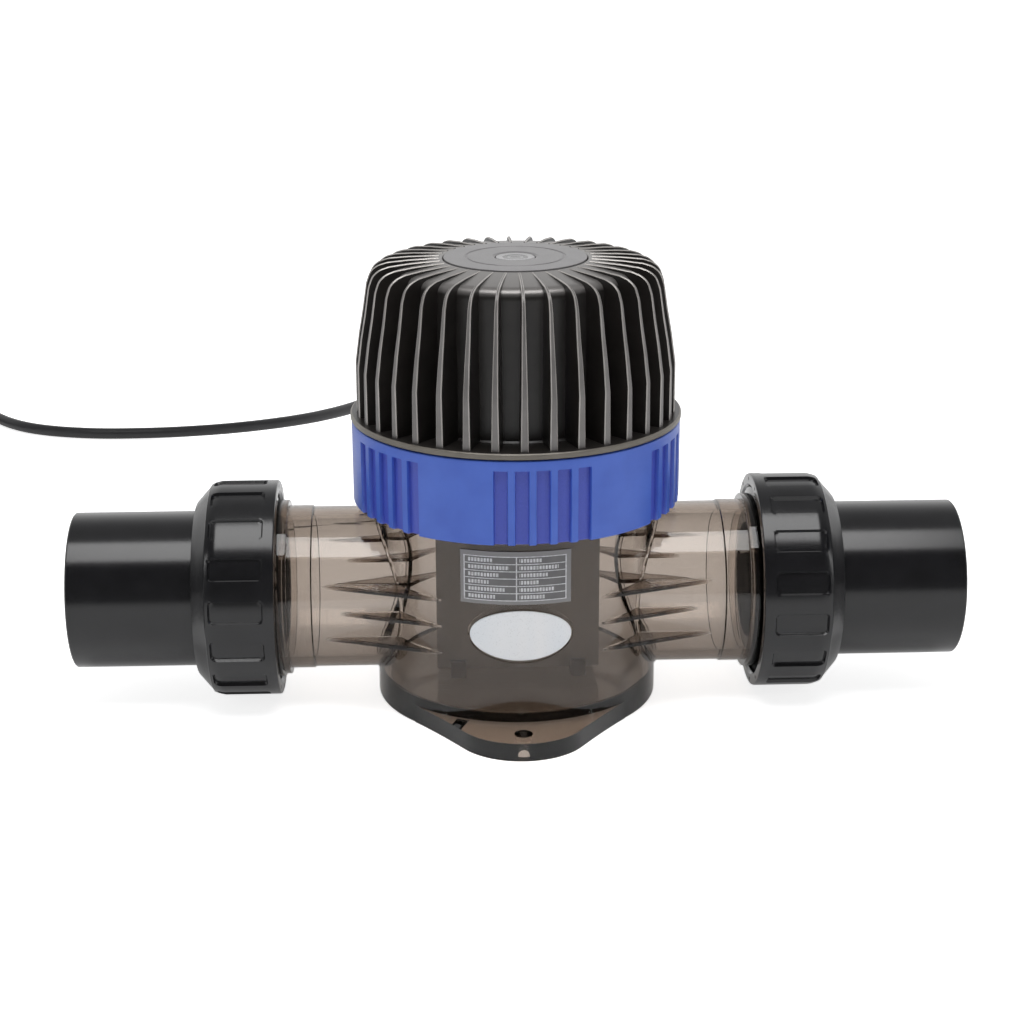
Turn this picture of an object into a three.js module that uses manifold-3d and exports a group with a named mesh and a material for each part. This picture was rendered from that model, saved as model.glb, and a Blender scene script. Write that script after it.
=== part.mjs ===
// An in-line salt-water chlorinator cell for pond pipework: a smoke-clear tee housing on a bolted
// foot, a finned head that carries the electrode cell and is held down by a blue lock ring, and a
// union nut with a glue-in tailpiece at each end. Millimetres, +Z up, +X along the pipes.
// The origin is the centre of the foot's underside.
import * as THREE from 'three';
import { mergeVertices } from 'three/addons/utils/BufferGeometryUtils.js';
import Module from 'manifold-3d';

const wasm = await Module();
wasm.setup();

// ---- Driving dimensions ---------------------------------------------------------------------
const GAP = 0.3; // left between pieces that touch
const ROUND = 36; // sides of the body, ring and head
const PIPE_ROUND = 24; // sides of the pipes and unions
const SMALL_ROUND = 12; // sides of a small round piece

const AXIS_Z = 44.4; // pipe axis over the foot
const HALF_LENGTH = 179; // tailpiece mouth from the centre
const BODY_R = 57;
const CHAMBER_R = 53;
const CHAMBER_FLOOR = 9.5;
const NECK_R = 59.5;
const NECK_TOP = 108;
const PIPE_R = 32.7;
const BORE_R = 29;
const COLLAR_R = 35.5;
const COLLAR_START = 92;
const COLLAR_END = 108.2;
const FOOT_HEIGHT = 7.3;
const EAR_TIP_R = 27.2;
const EAR_TIP_Y = 77.4;
const SCREW_HOLE_R = 3.25;
const SCREW_HOLE_Y = 68;

const THREAD_LEAD = 6; // union nut thread, undone in two turns
const MALE_CREST_R = 38;
const FEMALE_CREST_R = 36.3;

const RING_R = 65.5;
const RING_BORE_R = 61.8;
const RING_BOTTOM = 83;
const RING_TOP = 116.2;
const RING_LIP_R = 57.5;
const LIP_THICKNESS = 4;
const GRIP_GROUPS = 6;
const GROOVES_PER_GROUP = 5;
const GRIP_TURN = 6.9; // the front group's centre, degrees round from the front

const RIM_R = 65.9;
const RIM_BOTTOM = 116.6;
const RIM_TOP = 119;
const HEAD_TOP = 180.2;
const CORE_R = 51;
const BOSS_R = 57;
const CAVITY_R = 46;
const FIN_COUNT = 36;
const FIN_TURN = 0.8; // the front fin, degrees round from the front
const FIN_THICKNESS = 2.6;
const DISC_R = 28.1;
const LENS_R = 7.7;

const FLANGE_TOP = 111;
const FLANGE_R = 60.8;
const PLUG_R = 52.4;
const PLUG_BOTTOM = 84;
const CUP_R = 45;
const CUP_FLOOR = 90;
const CARRIER_SCREW_AT = 55;

const PLATE_COUNT = 7;
const PLATE_PITCH = 5.2;
const PLATE_THICKNESS = 1.2;
const PLATE_HALF_WIDTH = 32.5;
const PLATE_BOTTOM = 14.3;
const PLATE_TOP = 76.7;
const COMB_AT = 24; // combs and terminal rods, to each side of the centre
const BOARD_BOTTOM = 121;
const BOARD_TOP = 122.6;

const TAIL_R = 31.5;
const SOCKET_R = 25.1;
const SOCKET_DEPTH = 38;
const THROAT_R = 23.5;
const NUT_R = 43.65;
const NUT_BORE_R = 38.6;
const NUT_START = 96;
const NUT_SHOULDER = 113.3;
const NUT_PANELS = 16;

const GLAND_TURN = 95.3; // way the cable leaves the head, degrees round from +X
const GLAND_Z = 126;
const CABLE_R = 3.15;
const COIL_CENTRE = [-356.2, 430.5];
const COIL_INNER_R = 25.9;
const COIL_OUTER_R = 49;
const COIL_BOTTOM = 0.9;
const COIL_TOP = 13.8;
const CONNECTOR_R = 8.2;

// ---- Materials -------------------------------------------------------------------------------
const finish = (color, roughness, metalness = 0, opacity = 1) =>
  new THREE.MeshStandardMaterial({ color, roughness, metalness, opacity, transparent: opacity < 1 });
const MATERIALS = {
  smoke: finish(0x8b7a6c, 0.08, 0, 0.45),
  blackGloss: finish(0x101012, 0.22),
  blackSatin: finish(0x2a2a2b, 0.5, 0.3),
  blue: finish(0x3b5fc8, 0.4),
  carrier: finish(0x2f2c2a, 0.5),
  rubber: finish(0x1b1b1b, 0.8),
  titanium: finish(0x8e8a84, 0.4, 1),
  steel: finish(0xb4b6b8, 0.3, 1),
  brass: finish(0xb9954a, 0.35, 1),
  board: finish(0x1f5a35, 0.5),
  component: finish(0x22242a, 0.45),
  copper: finish(0xa8643a, 0.4, 1),
  pad: finish(0x9aa0a6, 0.85),
  label: finish(0xb9b7b3, 0.4),
  oval: finish(0xdfe3e6, 0.25, 0.3),
  lens: finish(0xd8dcdf, 0.15, 0, 0.6),
  cable: finish(0x1a1a1b, 0.55),
  strap: finish(0x202022, 0.9),
};

// ---- Shape helpers ---------------------------------------------------------------------------
const radians = THREE.MathUtils.degToRad;

// The corner indices and vertices of a geometry with its shared vertices merged, and without the
// flat triangles that merging leaves at a pole.
function mergedMesh(geometry) {
  if (geometry.userData.closed) {
    return [Array.from(geometry.index.array), geometry.getAttribute('position').array];
  }
  const loose = geometry.index ? geometry.toNonIndexed() : geometry;
  const bare = new THREE.BufferGeometry().setAttribute('position', loose.getAttribute('position'));
  const merged = mergeVertices(bare, 1e-4);
  const corners = merged.index.array;
  const index = [];
  for (let i = 0; i < corners.length; i += 3) {
    const [a, b, c] = corners.subarray(i, i + 3);
    if (a !== b && b !== c && c !== a) index.push(a, b, c);
  }
  return [index, merged.getAttribute('position').array];
}

// A manifold solid of a closed geometry, with its faces turned outwards.
function solidOf(geometry) {
  const [index, vertProperties] = mergedMesh(geometry);
  const build = (corners) =>
    new wasm.Manifold(new wasm.Mesh({ numProp: 3, vertProperties, triVerts: new Uint32Array(corners) }));
  const made = build(index);
  return made.volume() > 0 ? made : build(index.reverse());
}

// The geometry of a manifold solid.
function geometryOf(solid) {
  const mesh = solid.getMesh();
  const geometry = new THREE.BufferGeometry();
  geometry.setAttribute('position', new THREE.BufferAttribute(new Float32Array(mesh.vertProperties), 3));
  geometry.setIndex(new THREE.BufferAttribute(new Uint32Array(mesh.triVerts), 1));
  geometry.userData.closed = true;
  return geometry;
}

const union = (shapes) => shapes.map(solidOf).reduce((sum, shape) => sum.add(shape));
const join = (...shapes) => geometryOf(union(shapes.flat()));
const cut = (shape, ...tools) => geometryOf(solidOf(shape).subtract(union(tools.flat())));
const common = (a, b) => geometryOf(solidOf(a).intersect(solidOf(b)));

const vectors = (points) => points.map(([a, b]) => new THREE.Vector2(a, b));

// A profile of [radius, height] points, closed unless it starts and ends on the axis.
function lathe(profile, sides) {
  const onAxis = profile[0][0] === 0 && profile[profile.length - 1][0] === 0;
  const points = onAxis ? profile : [...profile, profile[0]];
  return new THREE.LatheGeometry(vectors(points), sides);
}
const aboutZ = (profile, sides = ROUND) => lathe(profile, sides).rotateX(Math.PI / 2);
const aboutX = (profile, sides = PIPE_ROUND) => lathe(profile, sides).rotateZ(-Math.PI / 2);

const disc = (radius, low, high) => [[0, low], [radius, low], [radius, high], [0, high]];
const ring = (inner, outer, low, high) => [[inner, low], [outer, low], [outer, high], [inner, high]];
const rod = (radius, low, high, x, y, sides = SMALL_ROUND) =>
  aboutZ(disc(radius, low, high), sides).translate(x, y, 0);

// A hexagonal nut with room round a rod of the given radius.
const hexNut = (rodR, cornerR, low, high) =>
  aboutZ(ring((rodR + GAP) / Math.cos(Math.PI / 6), cornerR, low, high), 6);

function block([x0, x1], [y0, y1], [z0, z1]) {
  const box = new THREE.BoxGeometry(x1 - x0, y1 - y0, z1 - z0);
  return box.translate((x0 + x1) / 2, (y0 + y1) / 2, (z0 + z1) / 2);
}

const slab = (shape, low, high, curveSegments = 12) =>
  new THREE.ExtrudeGeometry(shape, { depth: high - low, bevelEnabled: false, curveSegments })
    .translate(0, 0, low);

const turned = (shape, degrees) => shape.clone().rotateZ(radians(degrees));
const bothEnds = (shape) => [shape, turned(shape, 180)];

// A right-handed helical ridge about +X, buried at its root and fading out at both ends.
function helicalRidge({ root, crest, rootWidth, crestWidth, lead, turns, start, steps }) {
  const last = Math.round(turns * steps);
  const fadeSteps = steps / 4;
  const positions = [];
  const index = [];
  for (let i = 0; i <= last; i += 1) {
    const angle = (2 * Math.PI * i) / steps;
    const middle = start + (lead * i) / steps;
    const height = Math.min(1, 0.1 + i / fadeSteps, 0.1 + (last - i) / fadeSteps);
    const top = root + (crest - root) * height;
    const corners = [
      [-rootWidth / 2, root], [-crestWidth / 2, top], [crestWidth / 2, top], [rootWidth / 2, root],
    ];
    for (const [along, r] of corners) {
      positions.push(middle + along, r * Math.cos(angle), r * Math.sin(angle));
    }
    if (i === last) break;
    for (let k = 0; k < 4; k += 1) {
      const a = 4 * i + k;
      const b = 4 * i + ((k + 1) % 4);
      index.push(a, b, b + 4, a, b + 4, a + 4);
    }
  }
  const end = 4 * last;
  index.push(0, 3, 2, 0, 2, 1, end, end + 1, end + 2, end, end + 2, end + 3);
  const geometry = new THREE.BufferGeometry();
  geometry.setAttribute('position', new THREE.Float32BufferAttribute(positions, 3));
  return geometry.setIndex(index);
}

// ---- The assembly ----------------------------------------------------------------------------
const part = new THREE.Group();

function add(name, geometry, material) {
  const mesh = new THREE.Mesh(geometry, material);
  mesh.name = name;
  part.add(mesh);
  return mesh;
}

// ---- Housing ---------------------------------------------------------------------------------
function foot() {
  const ear = new THREE.Shape();
  const tipY = EAR_TIP_Y - EAR_TIP_R;
  const tipTurn = radians(33.7);
  ear.moveTo(42, 38.5);
  ear.quadraticCurveTo(33, 49.5, EAR_TIP_R * Math.cos(tipTurn), tipY + EAR_TIP_R * Math.sin(tipTurn));
  ear.absarc(0, tipY, EAR_TIP_R, tipTurn, Math.PI - tipTurn, false);
  ear.quadraticCurveTo(-33, 49.5, -42, 38.5);
  return [aboutZ(disc(BODY_R, 0, FOOT_HEIGHT)), ...bothEnds(slab(ear, 0, FOOT_HEIGHT, 10))];
}

// Three flat ribs at one corner, tying the body to the pipe.
function gussets() {
  const ribs = [[55.2, 78.4, 30.8], [44.4, 71.7, 32.5], [33.2, 77.2, 30.7]];
  const thickness = 1.8;
  const [bodyX, bodyY] = [30.3, 48.2];
  return ribs.map(([z, tipX, tipY]) => {
    const rib = new THREE.Shape(vectors([[tipX, tipY], [bodyX, bodyY], [bodyX, 20], [tipX, 20]]));
    return slab(rib, z - thickness / 2, z + thickness / 2);
  });
}

function housing() {
  const shoulder = NECK_R - BODY_R;
  const neckBase = RING_BOTTOM + 1;
  const body = aboutZ([[0, 0], [BODY_R, 0], [BODY_R, neckBase - shoulder], [NECK_R, neckBase],
    [NECK_R, NECK_TOP], [0, NECK_TOP]]);
  const pipe = aboutX([[0, 0], [PIPE_R, 0], [PIPE_R, 82], [PIPE_R + 0.5, 82.5],
    [PIPE_R + 0.5, COLLAR_START], [COLLAR_R, COLLAR_START], [COLLAR_R, COLLAR_END], [0, COLLAR_END],
  ]).translate(0, 0, AXIS_Z);
  const unionThread = helicalRidge({ root: COLLAR_R - 0.5, crest: MALE_CREST_R, rootWidth: 3.4,
    crestWidth: 2, lead: THREAD_LEAD, turns: 1.75, start: 95, steps: PIPE_ROUND }).translate(0, 0, AXIS_Z);
  const neckThread = helicalRidge({ root: NECK_R - 0.5, crest: 61.2, rootWidth: 3.2, crestWidth: 1.8,
    lead: 8, turns: 1.6, start: 89, steps: ROUND / 2 }).rotateY(-Math.PI / 2);
  const corner = gussets();
  const mirrored = corner.map((rib) => rib.clone().scale(-1, 1, 1));
  const ribs = [...corner, ...mirrored].flatMap(bothEnds);
  const outside = join(body, foot(), bothEnds(pipe), bothEnds(unionThread), neckThread, ribs);

  const chamber = aboutZ(disc(CHAMBER_R, CHAMBER_FLOOR, NECK_TOP + 1));
  const bore = aboutX(disc(BORE_R, -COLLAR_END - 1, COLLAR_END + 1)).translate(0, 0, AXIS_Z);
  const sealGroove = aboutX(ring(30.6, 34, COLLAR_END - 2.9, COLLAR_END + 1)).translate(0, 0, AXIS_Z);
  const screwHoles = [-1, 1].map((side) =>
    rod(SCREW_HOLE_R, -1, FOOT_HEIGHT + 1, 0, side * SCREW_HOLE_Y));
  return cut(outside, chamber, bore, bothEnds(sealGroove), screwHoles);
}

// A plate wrapped on the front of the body, between two radii, from an outline drawn in X and Z.
function wrapped(outline, inner, outer) {
  const settings = { depth: 70, bevelEnabled: false, curveSegments: 14 };
  const stamp = new THREE.ExtrudeGeometry(outline, settings);
  return common(stamp.rotateX(Math.PI / 2), aboutZ(ring(inner, outer, 30, 80), 72));
}

function ovalBadge() {
  const outline = new THREE.Shape();
  outline.absellipse(-0.5, 43.7, 19.6, 10.2, 0, 2 * Math.PI);
  return wrapped(outline, BODY_R + GAP, BODY_R + 1);
}

function ratingLabel() {
  const outline = new THREE.Shape(vectors([[-23.5, 56.4], [18.9, 56.4], [18.9, 78], [-23.5, 78]]));
  return wrapped(outline, BODY_R + GAP, BODY_R + 0.7);
}

add('housing', housing(), MATERIALS.smoke);
add('oval_badge', ovalBadge(), MATERIALS.oval);
add('rating_label', ratingLabel(), MATERIALS.label);

// ---- Unions ----------------------------------------------------------------------------------
function tailpiece() {
  const flangeStart = COLLAR_END + GAP;
  const flangeEnd = NUT_SHOULDER - GAP;
  const socketStart = HALF_LENGTH - SOCKET_DEPTH;
  const noseStart = 94;
  const flangeR = COLLAR_R + 0.1;
  return aboutX([[THROAT_R, noseStart], [BORE_R - 0.6, noseStart], [BORE_R - 0.6, flangeStart],
    [flangeR, flangeStart], [flangeR, flangeEnd], [TAIL_R, flangeEnd],
    [TAIL_R, HALF_LENGTH - 0.6], [TAIL_R - 0.6, HALF_LENGTH], [SOCKET_R, HALF_LENGTH],
    [SOCKET_R, socketStart], [THROAT_R, socketStart]]);
}

function unionNut(panelTurn) {
  const hubR = TAIL_R + 0.8;
  const shell = aboutX([[NUT_BORE_R + 0.8, NUT_START], [NUT_R - 0.7, NUT_START], [NUT_R, NUT_START + 0.7],
    [NUT_R, 119.5], [NUT_R - 1.4, 122.5], [38.5, 126.2], [35.2, 129.2],
    [hubR, 129.2], [hubR, NUT_SHOULDER], [NUT_BORE_R, NUT_SHOULDER], [NUT_BORE_R, NUT_START + 0.8]]);
  const thread = helicalRidge({ root: NUT_BORE_R + 0.5, crest: FEMALE_CREST_R, rootWidth: 3.4,
    crestWidth: 2.2, lead: THREAD_LEAD, turns: 1.6, start: 95 + THREAD_LEAD / 2, steps: PIPE_ROUND });
  const panelHalfWidth = 4.3;
  const panelDepth = 1.3;
  const panel = block([100.7, 121.6], [-panelHalfWidth, panelHalfWidth], [NUT_R - panelDepth, NUT_R + 2]);
  const panels = [];
  for (let i = 0; i < NUT_PANELS; i += 1) {
    panels.push(panel.clone().rotateX(radians(panelTurn + (360 * i) / NUT_PANELS)));
  }
  return cut(join(shell, thread), panels);
}

function unionSeal() {
  const sealR = 32.3;
  const section = 1.3;
  const middle = COLLAR_END - section - 0.1;
  return aboutX([[sealR + section, middle], [sealR, middle + section], [sealR - section, middle],
    [sealR, middle - section]]);
}

for (const [side, degrees, panelTurn] of [['right', 0, 5.2], ['left', 180, 6.6]]) {
  const end = new THREE.Group();
  end.position.z = AXIS_Z;
  end.rotation.z = radians(degrees);
  end.add(add(`tailpiece_${side}`, tailpiece(), MATERIALS.blackGloss));
  end.add(add(`union_nut_${side}`, unionNut(panelTurn), MATERIALS.blackGloss));
  end.add(add(`union_seal_${side}`, unionSeal(), MATERIALS.rubber));
  part.add(end);
}

// ---- Lock ring -------------------------------------------------------------------------------
function lockRing() {
  const lipBottom = RING_TOP - LIP_THICKNESS;
  const shell = aboutZ([[RING_BORE_R, RING_BOTTOM], [RING_R, RING_BOTTOM], [RING_R, RING_TOP - 0.5],
    [RING_R - 0.5, RING_TOP], [RING_LIP_R, RING_TOP], [RING_LIP_R, lipBottom], [RING_BORE_R, lipBottom]]);
  const grooveWidth = 5;
  const grooveDepth = 1.6;
  const grooveTop = 112;
  const groovePitch = 7.1;
  const groove = block([-grooveWidth / 2, grooveWidth / 2], [-RING_R - 1, -RING_R + grooveDepth],
    [RING_BOTTOM - 1, grooveTop]);
  const grooves = [];
  for (let group = 0; group < GRIP_GROUPS; group += 1) {
    for (let i = 0; i < GROOVES_PER_GROUP; i += 1) {
      const offset = (i - (GROOVES_PER_GROUP - 1) / 2) * groovePitch;
      grooves.push(turned(groove, GRIP_TURN + (360 * group) / GRIP_GROUPS + offset));
    }
  }
  return cut(shell, grooves);
}

add('lock_ring', lockRing(), MATERIALS.blue);
const slipWasher = ring(57.9, 61.2, FLANGE_TOP + GAP, RING_TOP - LIP_THICKNESS - GAP);
add('slip_washer', aboutZ(slipWasher, 24), MATERIALS.pad);

// ---- Head: finned cap ------------------------------------------------------------------------
function finOutline() {
  const fin = new THREE.Shape();
  fin.moveTo(48, RIM_TOP - 0.5);
  fin.lineTo(63.3, RIM_TOP - 0.5);
  fin.lineTo(63.3, 139);
  fin.lineTo(58.6, 170);
  fin.quadraticCurveTo(57.6, 176.4, 50.5, 178.2);
  fin.lineTo(30, 180);
  fin.lineTo(30, 176.5);
  fin.lineTo(42, 172);
  fin.lineTo(48, 160);
  return fin;
}

// A geometry built along +X, turned to where the cable leaves the head.
const atGland = (shape) => shape.rotateZ(radians(GLAND_TURN)).translate(0, 0, GLAND_Z);

function heatSinkCap() {
  const core = aboutZ([[0, RIM_BOTTOM], [RIM_R, RIM_BOTTOM], [RIM_R, RIM_TOP - 0.5],
    [RIM_R - 0.5, RIM_TOP], [CORE_R, RIM_TOP], [CORE_R - 1.4, 171], [46.5, 176], [41, 177.6],
    [DISC_R + 1, 179], [0, 179]]);
  const boss = aboutZ(disc(BOSS_R, FLANGE_TOP + GAP, RIM_BOTTOM + 1), 24);
  const betweenFins = FIN_TURN + 180 / FIN_COUNT; // the core's corners lie between the fins
  const profile = new THREE.ExtrudeGeometry(finOutline(),
    { depth: FIN_THICKNESS, bevelEnabled: false, curveSegments: 2 });
  const fin = profile.translate(0, 0, -FIN_THICKNESS / 2).rotateX(Math.PI / 2).rotateZ(-Math.PI / 2);
  const fins = [];
  for (let i = 0; i < FIN_COUNT; i += 1) fins.push(turned(fin, FIN_TURN + (360 * i) / FIN_COUNT));
  const glandBoss = atGland(aboutX(disc(8, 47, 59), SMALL_ROUND));

  const cavity = aboutZ(
    [[0, FLANGE_TOP], [CAVITY_R, FLANGE_TOP], [CAVITY_R, 158], [38, 168], [0, 168]], 24);
  const discRecess = aboutZ(disc(DISC_R + GAP, 176.6, HEAD_TOP + 1), 24);
  const lightHole = rod(2.6, 160, HEAD_TOP, 0, 0);
  const glandClearance = atGland(aboutX(disc(8.2, 59, RIM_R + 4), SMALL_ROUND));
  const glandHole = atGland(aboutX(disc(4.9, 40, 60), SMALL_ROUND));
  const screwHoles = screwPlaces().map(([x, y]) => rod(1.3, FLANGE_TOP, RIM_BOTTOM, x, y, 8));
  return cut(join(cut(join(turned(core, betweenFins), boss, fins), glandClearance), glandBoss),
    cavity, discRecess, lightHole, glandHole, screwHoles);
}

function screwPlaces() {
  const places = [];
  for (let i = 0; i < 4; i += 1) {
    const angle = radians(45 + 90 * i);
    places.push([CARRIER_SCREW_AT * Math.cos(angle), CARRIER_SCREW_AT * Math.sin(angle)]);
  }
  return places;
}

function topDisc() {
  const plate = aboutZ([[0, 176.9], [DISC_R, 176.9], [DISC_R, HEAD_TOP - 0.6],
    [DISC_R - 0.6, HEAD_TOP], [0, HEAD_TOP]], 24);
  const step = rod(LENS_R + GAP, 178.6, HEAD_TOP + 1, 0, 0, 24);
  return cut(plate, step, rod(5, 176, HEAD_TOP, 0, 0));
}

add('heat_sink_cap', heatSinkCap(), MATERIALS.blackSatin);
add('top_disc', topDisc(), MATERIALS.blackSatin);
add('status_lens', aboutZ([[0, 178.9], [LENS_R, 178.9], [LENS_R, 179.6],
  [LENS_R - 0.5, HEAD_TOP - 0.2], [0, HEAD_TOP - 0.2]], 24), MATERIALS.lens);
add('light_pipe', rod(2.2, BOARD_TOP + GAP, 178.6, 0, 0), MATERIALS.lens);

// ---- Head: electrode carrier and its fasteners ----------------------------------------------
const SENSOR_AT = [0, 30];

function electrodeCarrier() {
  const groove = PLUG_R - 2.8;
  const plug = aboutZ([[0, PLUG_BOTTOM], [PLUG_R - 1, PLUG_BOTTOM], [PLUG_R, PLUG_BOTTOM + 1],
    [PLUG_R, 98.6], [groove, 98.6], [groove, 102.2], [PLUG_R, 102.2], [PLUG_R, NECK_TOP + GAP],
    [FLANGE_R, NECK_TOP + GAP], [FLANGE_R, FLANGE_TOP], [0, FLANGE_TOP]], 24);
  const cup = aboutZ(disc(CUP_R, CUP_FLOOR, FLANGE_TOP + 1), 24);
  const rodHoles = [-COMB_AT, COMB_AT].map((x) => rod(2.1, PLUG_BOTTOM - 1, CUP_FLOOR + 1, x, 0));
  const sensorHole = rod(4.3, PLUG_BOTTOM - 1, CUP_FLOOR + 1, ...SENSOR_AT);
  const screwHoles = screwPlaces().flatMap(([x, y]) => [
    rod(2.4, NECK_TOP, NECK_TOP + 1.8, x, y, 12), rod(1.3, NECK_TOP, FLANGE_TOP + 1, x, y, 8)]);
  return cut(plug, cup, rodHoles, sensorHole, screwHoles);
}

function carrierSeal() {
  const [inner, outer] = [PLUG_R - 2.2, CHAMBER_R - GAP];
  return aboutZ([[inner, 100.4], [inner + 0.9, 98.9], [outer - 0.9, 98.9], [outer, 100.4],
    [outer - 0.9, 101.9], [inner + 0.9, 101.9]], 24);
}

add('electrode_carrier', electrodeCarrier(), MATERIALS.carrier);
add('carrier_seal', carrierSeal(), MATERIALS.rubber);
screwPlaces().forEach(([x, y], i) => {
  const screw = aboutZ([[0, 108.4], [2.1, 108.4], [2.1, 109.5], [1, 109.5], [1, 115.6], [0, 115.6]], 8);
  add(`carrier_screw_${i + 1}`, screw.translate(x, y, 0), MATERIALS.steel);
});

// ---- Head: electrode cell --------------------------------------------------------------------
const plateY = (i) => (i - (PLATE_COUNT - 1) / 2) * PLATE_PITCH;
const plateNumbers = Array.from({ length: PLATE_COUNT }, (_, i) => i);

for (const i of plateNumbers) {
  const y = plateY(i);
  const plate = block([-PLATE_HALF_WIDTH, PLATE_HALF_WIDTH],
    [y - PLATE_THICKNESS / 2, y + PLATE_THICKNESS / 2], [PLATE_BOTTOM, PLATE_TOP]);
  add(`electrode_plate_${i + 1}`, plate, MATERIALS.titanium);
}

// A bar across the plates, slotted for their edges on the side that faces them.
function comb(x, [low, high], [slotLow, slotHigh], rodHole) {
  const halfLength = 19;
  const bar = block([x - 3, x + 3], [-halfLength, halfLength], [low, high]);
  const halfSlot = PLATE_THICKNESS / 2 + GAP;
  const slots = plateNumbers.map((i) =>
    block([x - 4, x + 4], [plateY(i) - halfSlot, plateY(i) + halfSlot], [slotLow, slotHigh]));
  return cut(bar, slots, rodHole);
}

for (const [side, x] of [['left', -COMB_AT], ['right', COMB_AT]]) {
  const slotFloor = PLATE_BOTTOM - GAP;
  const slotRoof = PLATE_TOP + GAP;
  const rodHole = rod(2.1, 77.6, 82, x, 0);
  const washer = aboutZ(ring(2.1, 4.6, CUP_FLOOR + GAP, 91.5), SMALL_ROUND);
  add(`lower_comb_${side}`, comb(x, [11, 18], [slotFloor, 19], []), MATERIALS.carrier);
  add(`upper_comb_${side}`, comb(x, [73, 81], [72, slotRoof], rodHole), MATERIALS.carrier);
  add(`terminal_rod_${side}`, rod(1.8, 77.9, 119, x, 0), MATERIALS.titanium);
  add(`terminal_washer_${side}`, washer.translate(x, 0, 0), MATERIALS.rubber);
  add(`terminal_nut_${side}`, hexNut(1.8, 4, 91.8, 95).translate(x, 0, 0), MATERIALS.brass);
}

function waterSensor() {
  const [x, y] = SENSOR_AT;
  const probe = aboutZ([[0, 34], [3.4, 35.5], [4.6, 38], [4.6, 52], [3.2, 54], [3.2, 80], [6, 80.2],
    [6, 83.7], [4, 83.7], [4, 98], [0, 98]], SMALL_ROUND);
  return probe.translate(x, y, 0);
}

add('water_sensor', waterSensor(), MATERIALS.component);
add('sensor_nut', hexNut(4, 7, CUP_FLOOR + GAP, 94).translate(...SENSOR_AT, 0), MATERIALS.brass);

// ---- Head: electronics -----------------------------------------------------------------------
const STANDOFFS = [[30, 22], [-30, 22], [-30, -22], [30, -22]];
const BOARD_R = 41;

add('controller_board', aboutZ(disc(BOARD_R, BOARD_BOTTOM, BOARD_TOP), 24), MATERIALS.board);
STANDOFFS.forEach(([x, y], i) => {
  const standoff = rod(3, CUP_FLOOR + GAP, BOARD_BOTTOM - GAP, x, y, 6);
  add(`board_standoff_${i + 1}`, standoff, MATERIALS.brass);
});
add('capacitor_left', rod(8, BOARD_TOP + GAP, 148, -20, 10), MATERIALS.component);
add('capacitor_right', rod(8, BOARD_TOP + GAP, 148, -20, -10), MATERIALS.component);
add('choke', aboutZ([[5, 124.5], [7, 122.9], [12, 122.9], [14, 124.5], [14, 131], [12, 132.6],
  [7, 132.6], [5, 131]], SMALL_ROUND).translate(20, 6, 0), MATERIALS.copper);
add('power_transistor', block([-8, 8], [-42, -37.5], [BOARD_TOP + GAP, 144]), MATERIALS.component);
add('thermal_pad', block([-8, 8], [-44.3, -42.3], [124, 146]), MATERIALS.pad);
add('terminal_block', block([8, 26], [-26, -16], [BOARD_TOP + GAP, 133]), MATERIALS.board);

// ---- Cable, from the gland to the connector --------------------------------------------------
// The free route of the cable, laid by hand: out of the head, down to the table and off to its coil.
const CABLE_ROUTE = [
  [-9, 96.3, 126], [-10.5, 113, 125], [-13, 132, 121.3], [-16.8, 154, 114.3], [-25, 197, 95.8],
  [-36.3, 237, 75], [-49.5, 270, 57], [-64.4, 297, 42.8], [-80.6, 318.5, 31.6], [-98, 335.3, 23],
  [-116, 348, 16.6], [-134.5, 357.4, 11.8], [-153, 364, 8.3], [-172, 368.4, 5.9], [-190.5, 371.2, 4.4],
  [-208.5, 373.2, 3.6], [-225.5, 375, 3.2], [-241.5, 377.6, 3.2], [-256.5, 382, 3.2], [-270, 388.6, 3.2],
  [-282, 398, 3.2], [-293, 410.5, 3.3], [-304.3, 427.6, 3.6],
];
const TAIL_ROUTE = [[-389.7, 389.4, 9.5], [-387, 382, 9], [-384.2, 374.3, 8.4], [-381.4, 366.6, 8.2]];

function tube(points, steps) {
  const path = new THREE.CatmullRomCurve3(points.map((p) => new THREE.Vector3(...p)));
  const section = [];
  for (let i = 0; i < 8; i += 1) {
    const angle = radians(45 * i);
    section.push([CABLE_R * Math.cos(angle), CABLE_R * Math.sin(angle)]);
  }
  return new THREE.ExtrudeGeometry(new THREE.Shape(vectors(section)), { steps, extrudePath: path });
}

// A loop of strap round the wound turns, on the side of the coil nearest the object.
function coilTie() {
  const thickness = 0.6;
  const innerRoom = 1; // the inside of the ring curves away from the flat strap
  const [inside, outside] = [COIL_INNER_R - innerRoom, COIL_OUTER_R + GAP];
  const band = block([inside - thickness, outside + thickness], [-5, 5], [0, COIL_TOP + GAP + thickness]);
  const hole = block([inside, outside], [-6, 6], [thickness, COIL_TOP + GAP]);
  return cut(band, hole).rotateZ(radians(-80)).translate(...COIL_CENTRE, 0);
}

// The connector lies on the table, pointing away along the tail's last stretch.
function alongTail(shape) {
  const [from, to] = TAIL_ROUTE.slice(-2);
  const heading = Math.atan2(to[1] - from[1], to[0] - from[0]);
  return shape.rotateZ(heading).translate(to[0], to[1], CONNECTOR_R);
}

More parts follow.
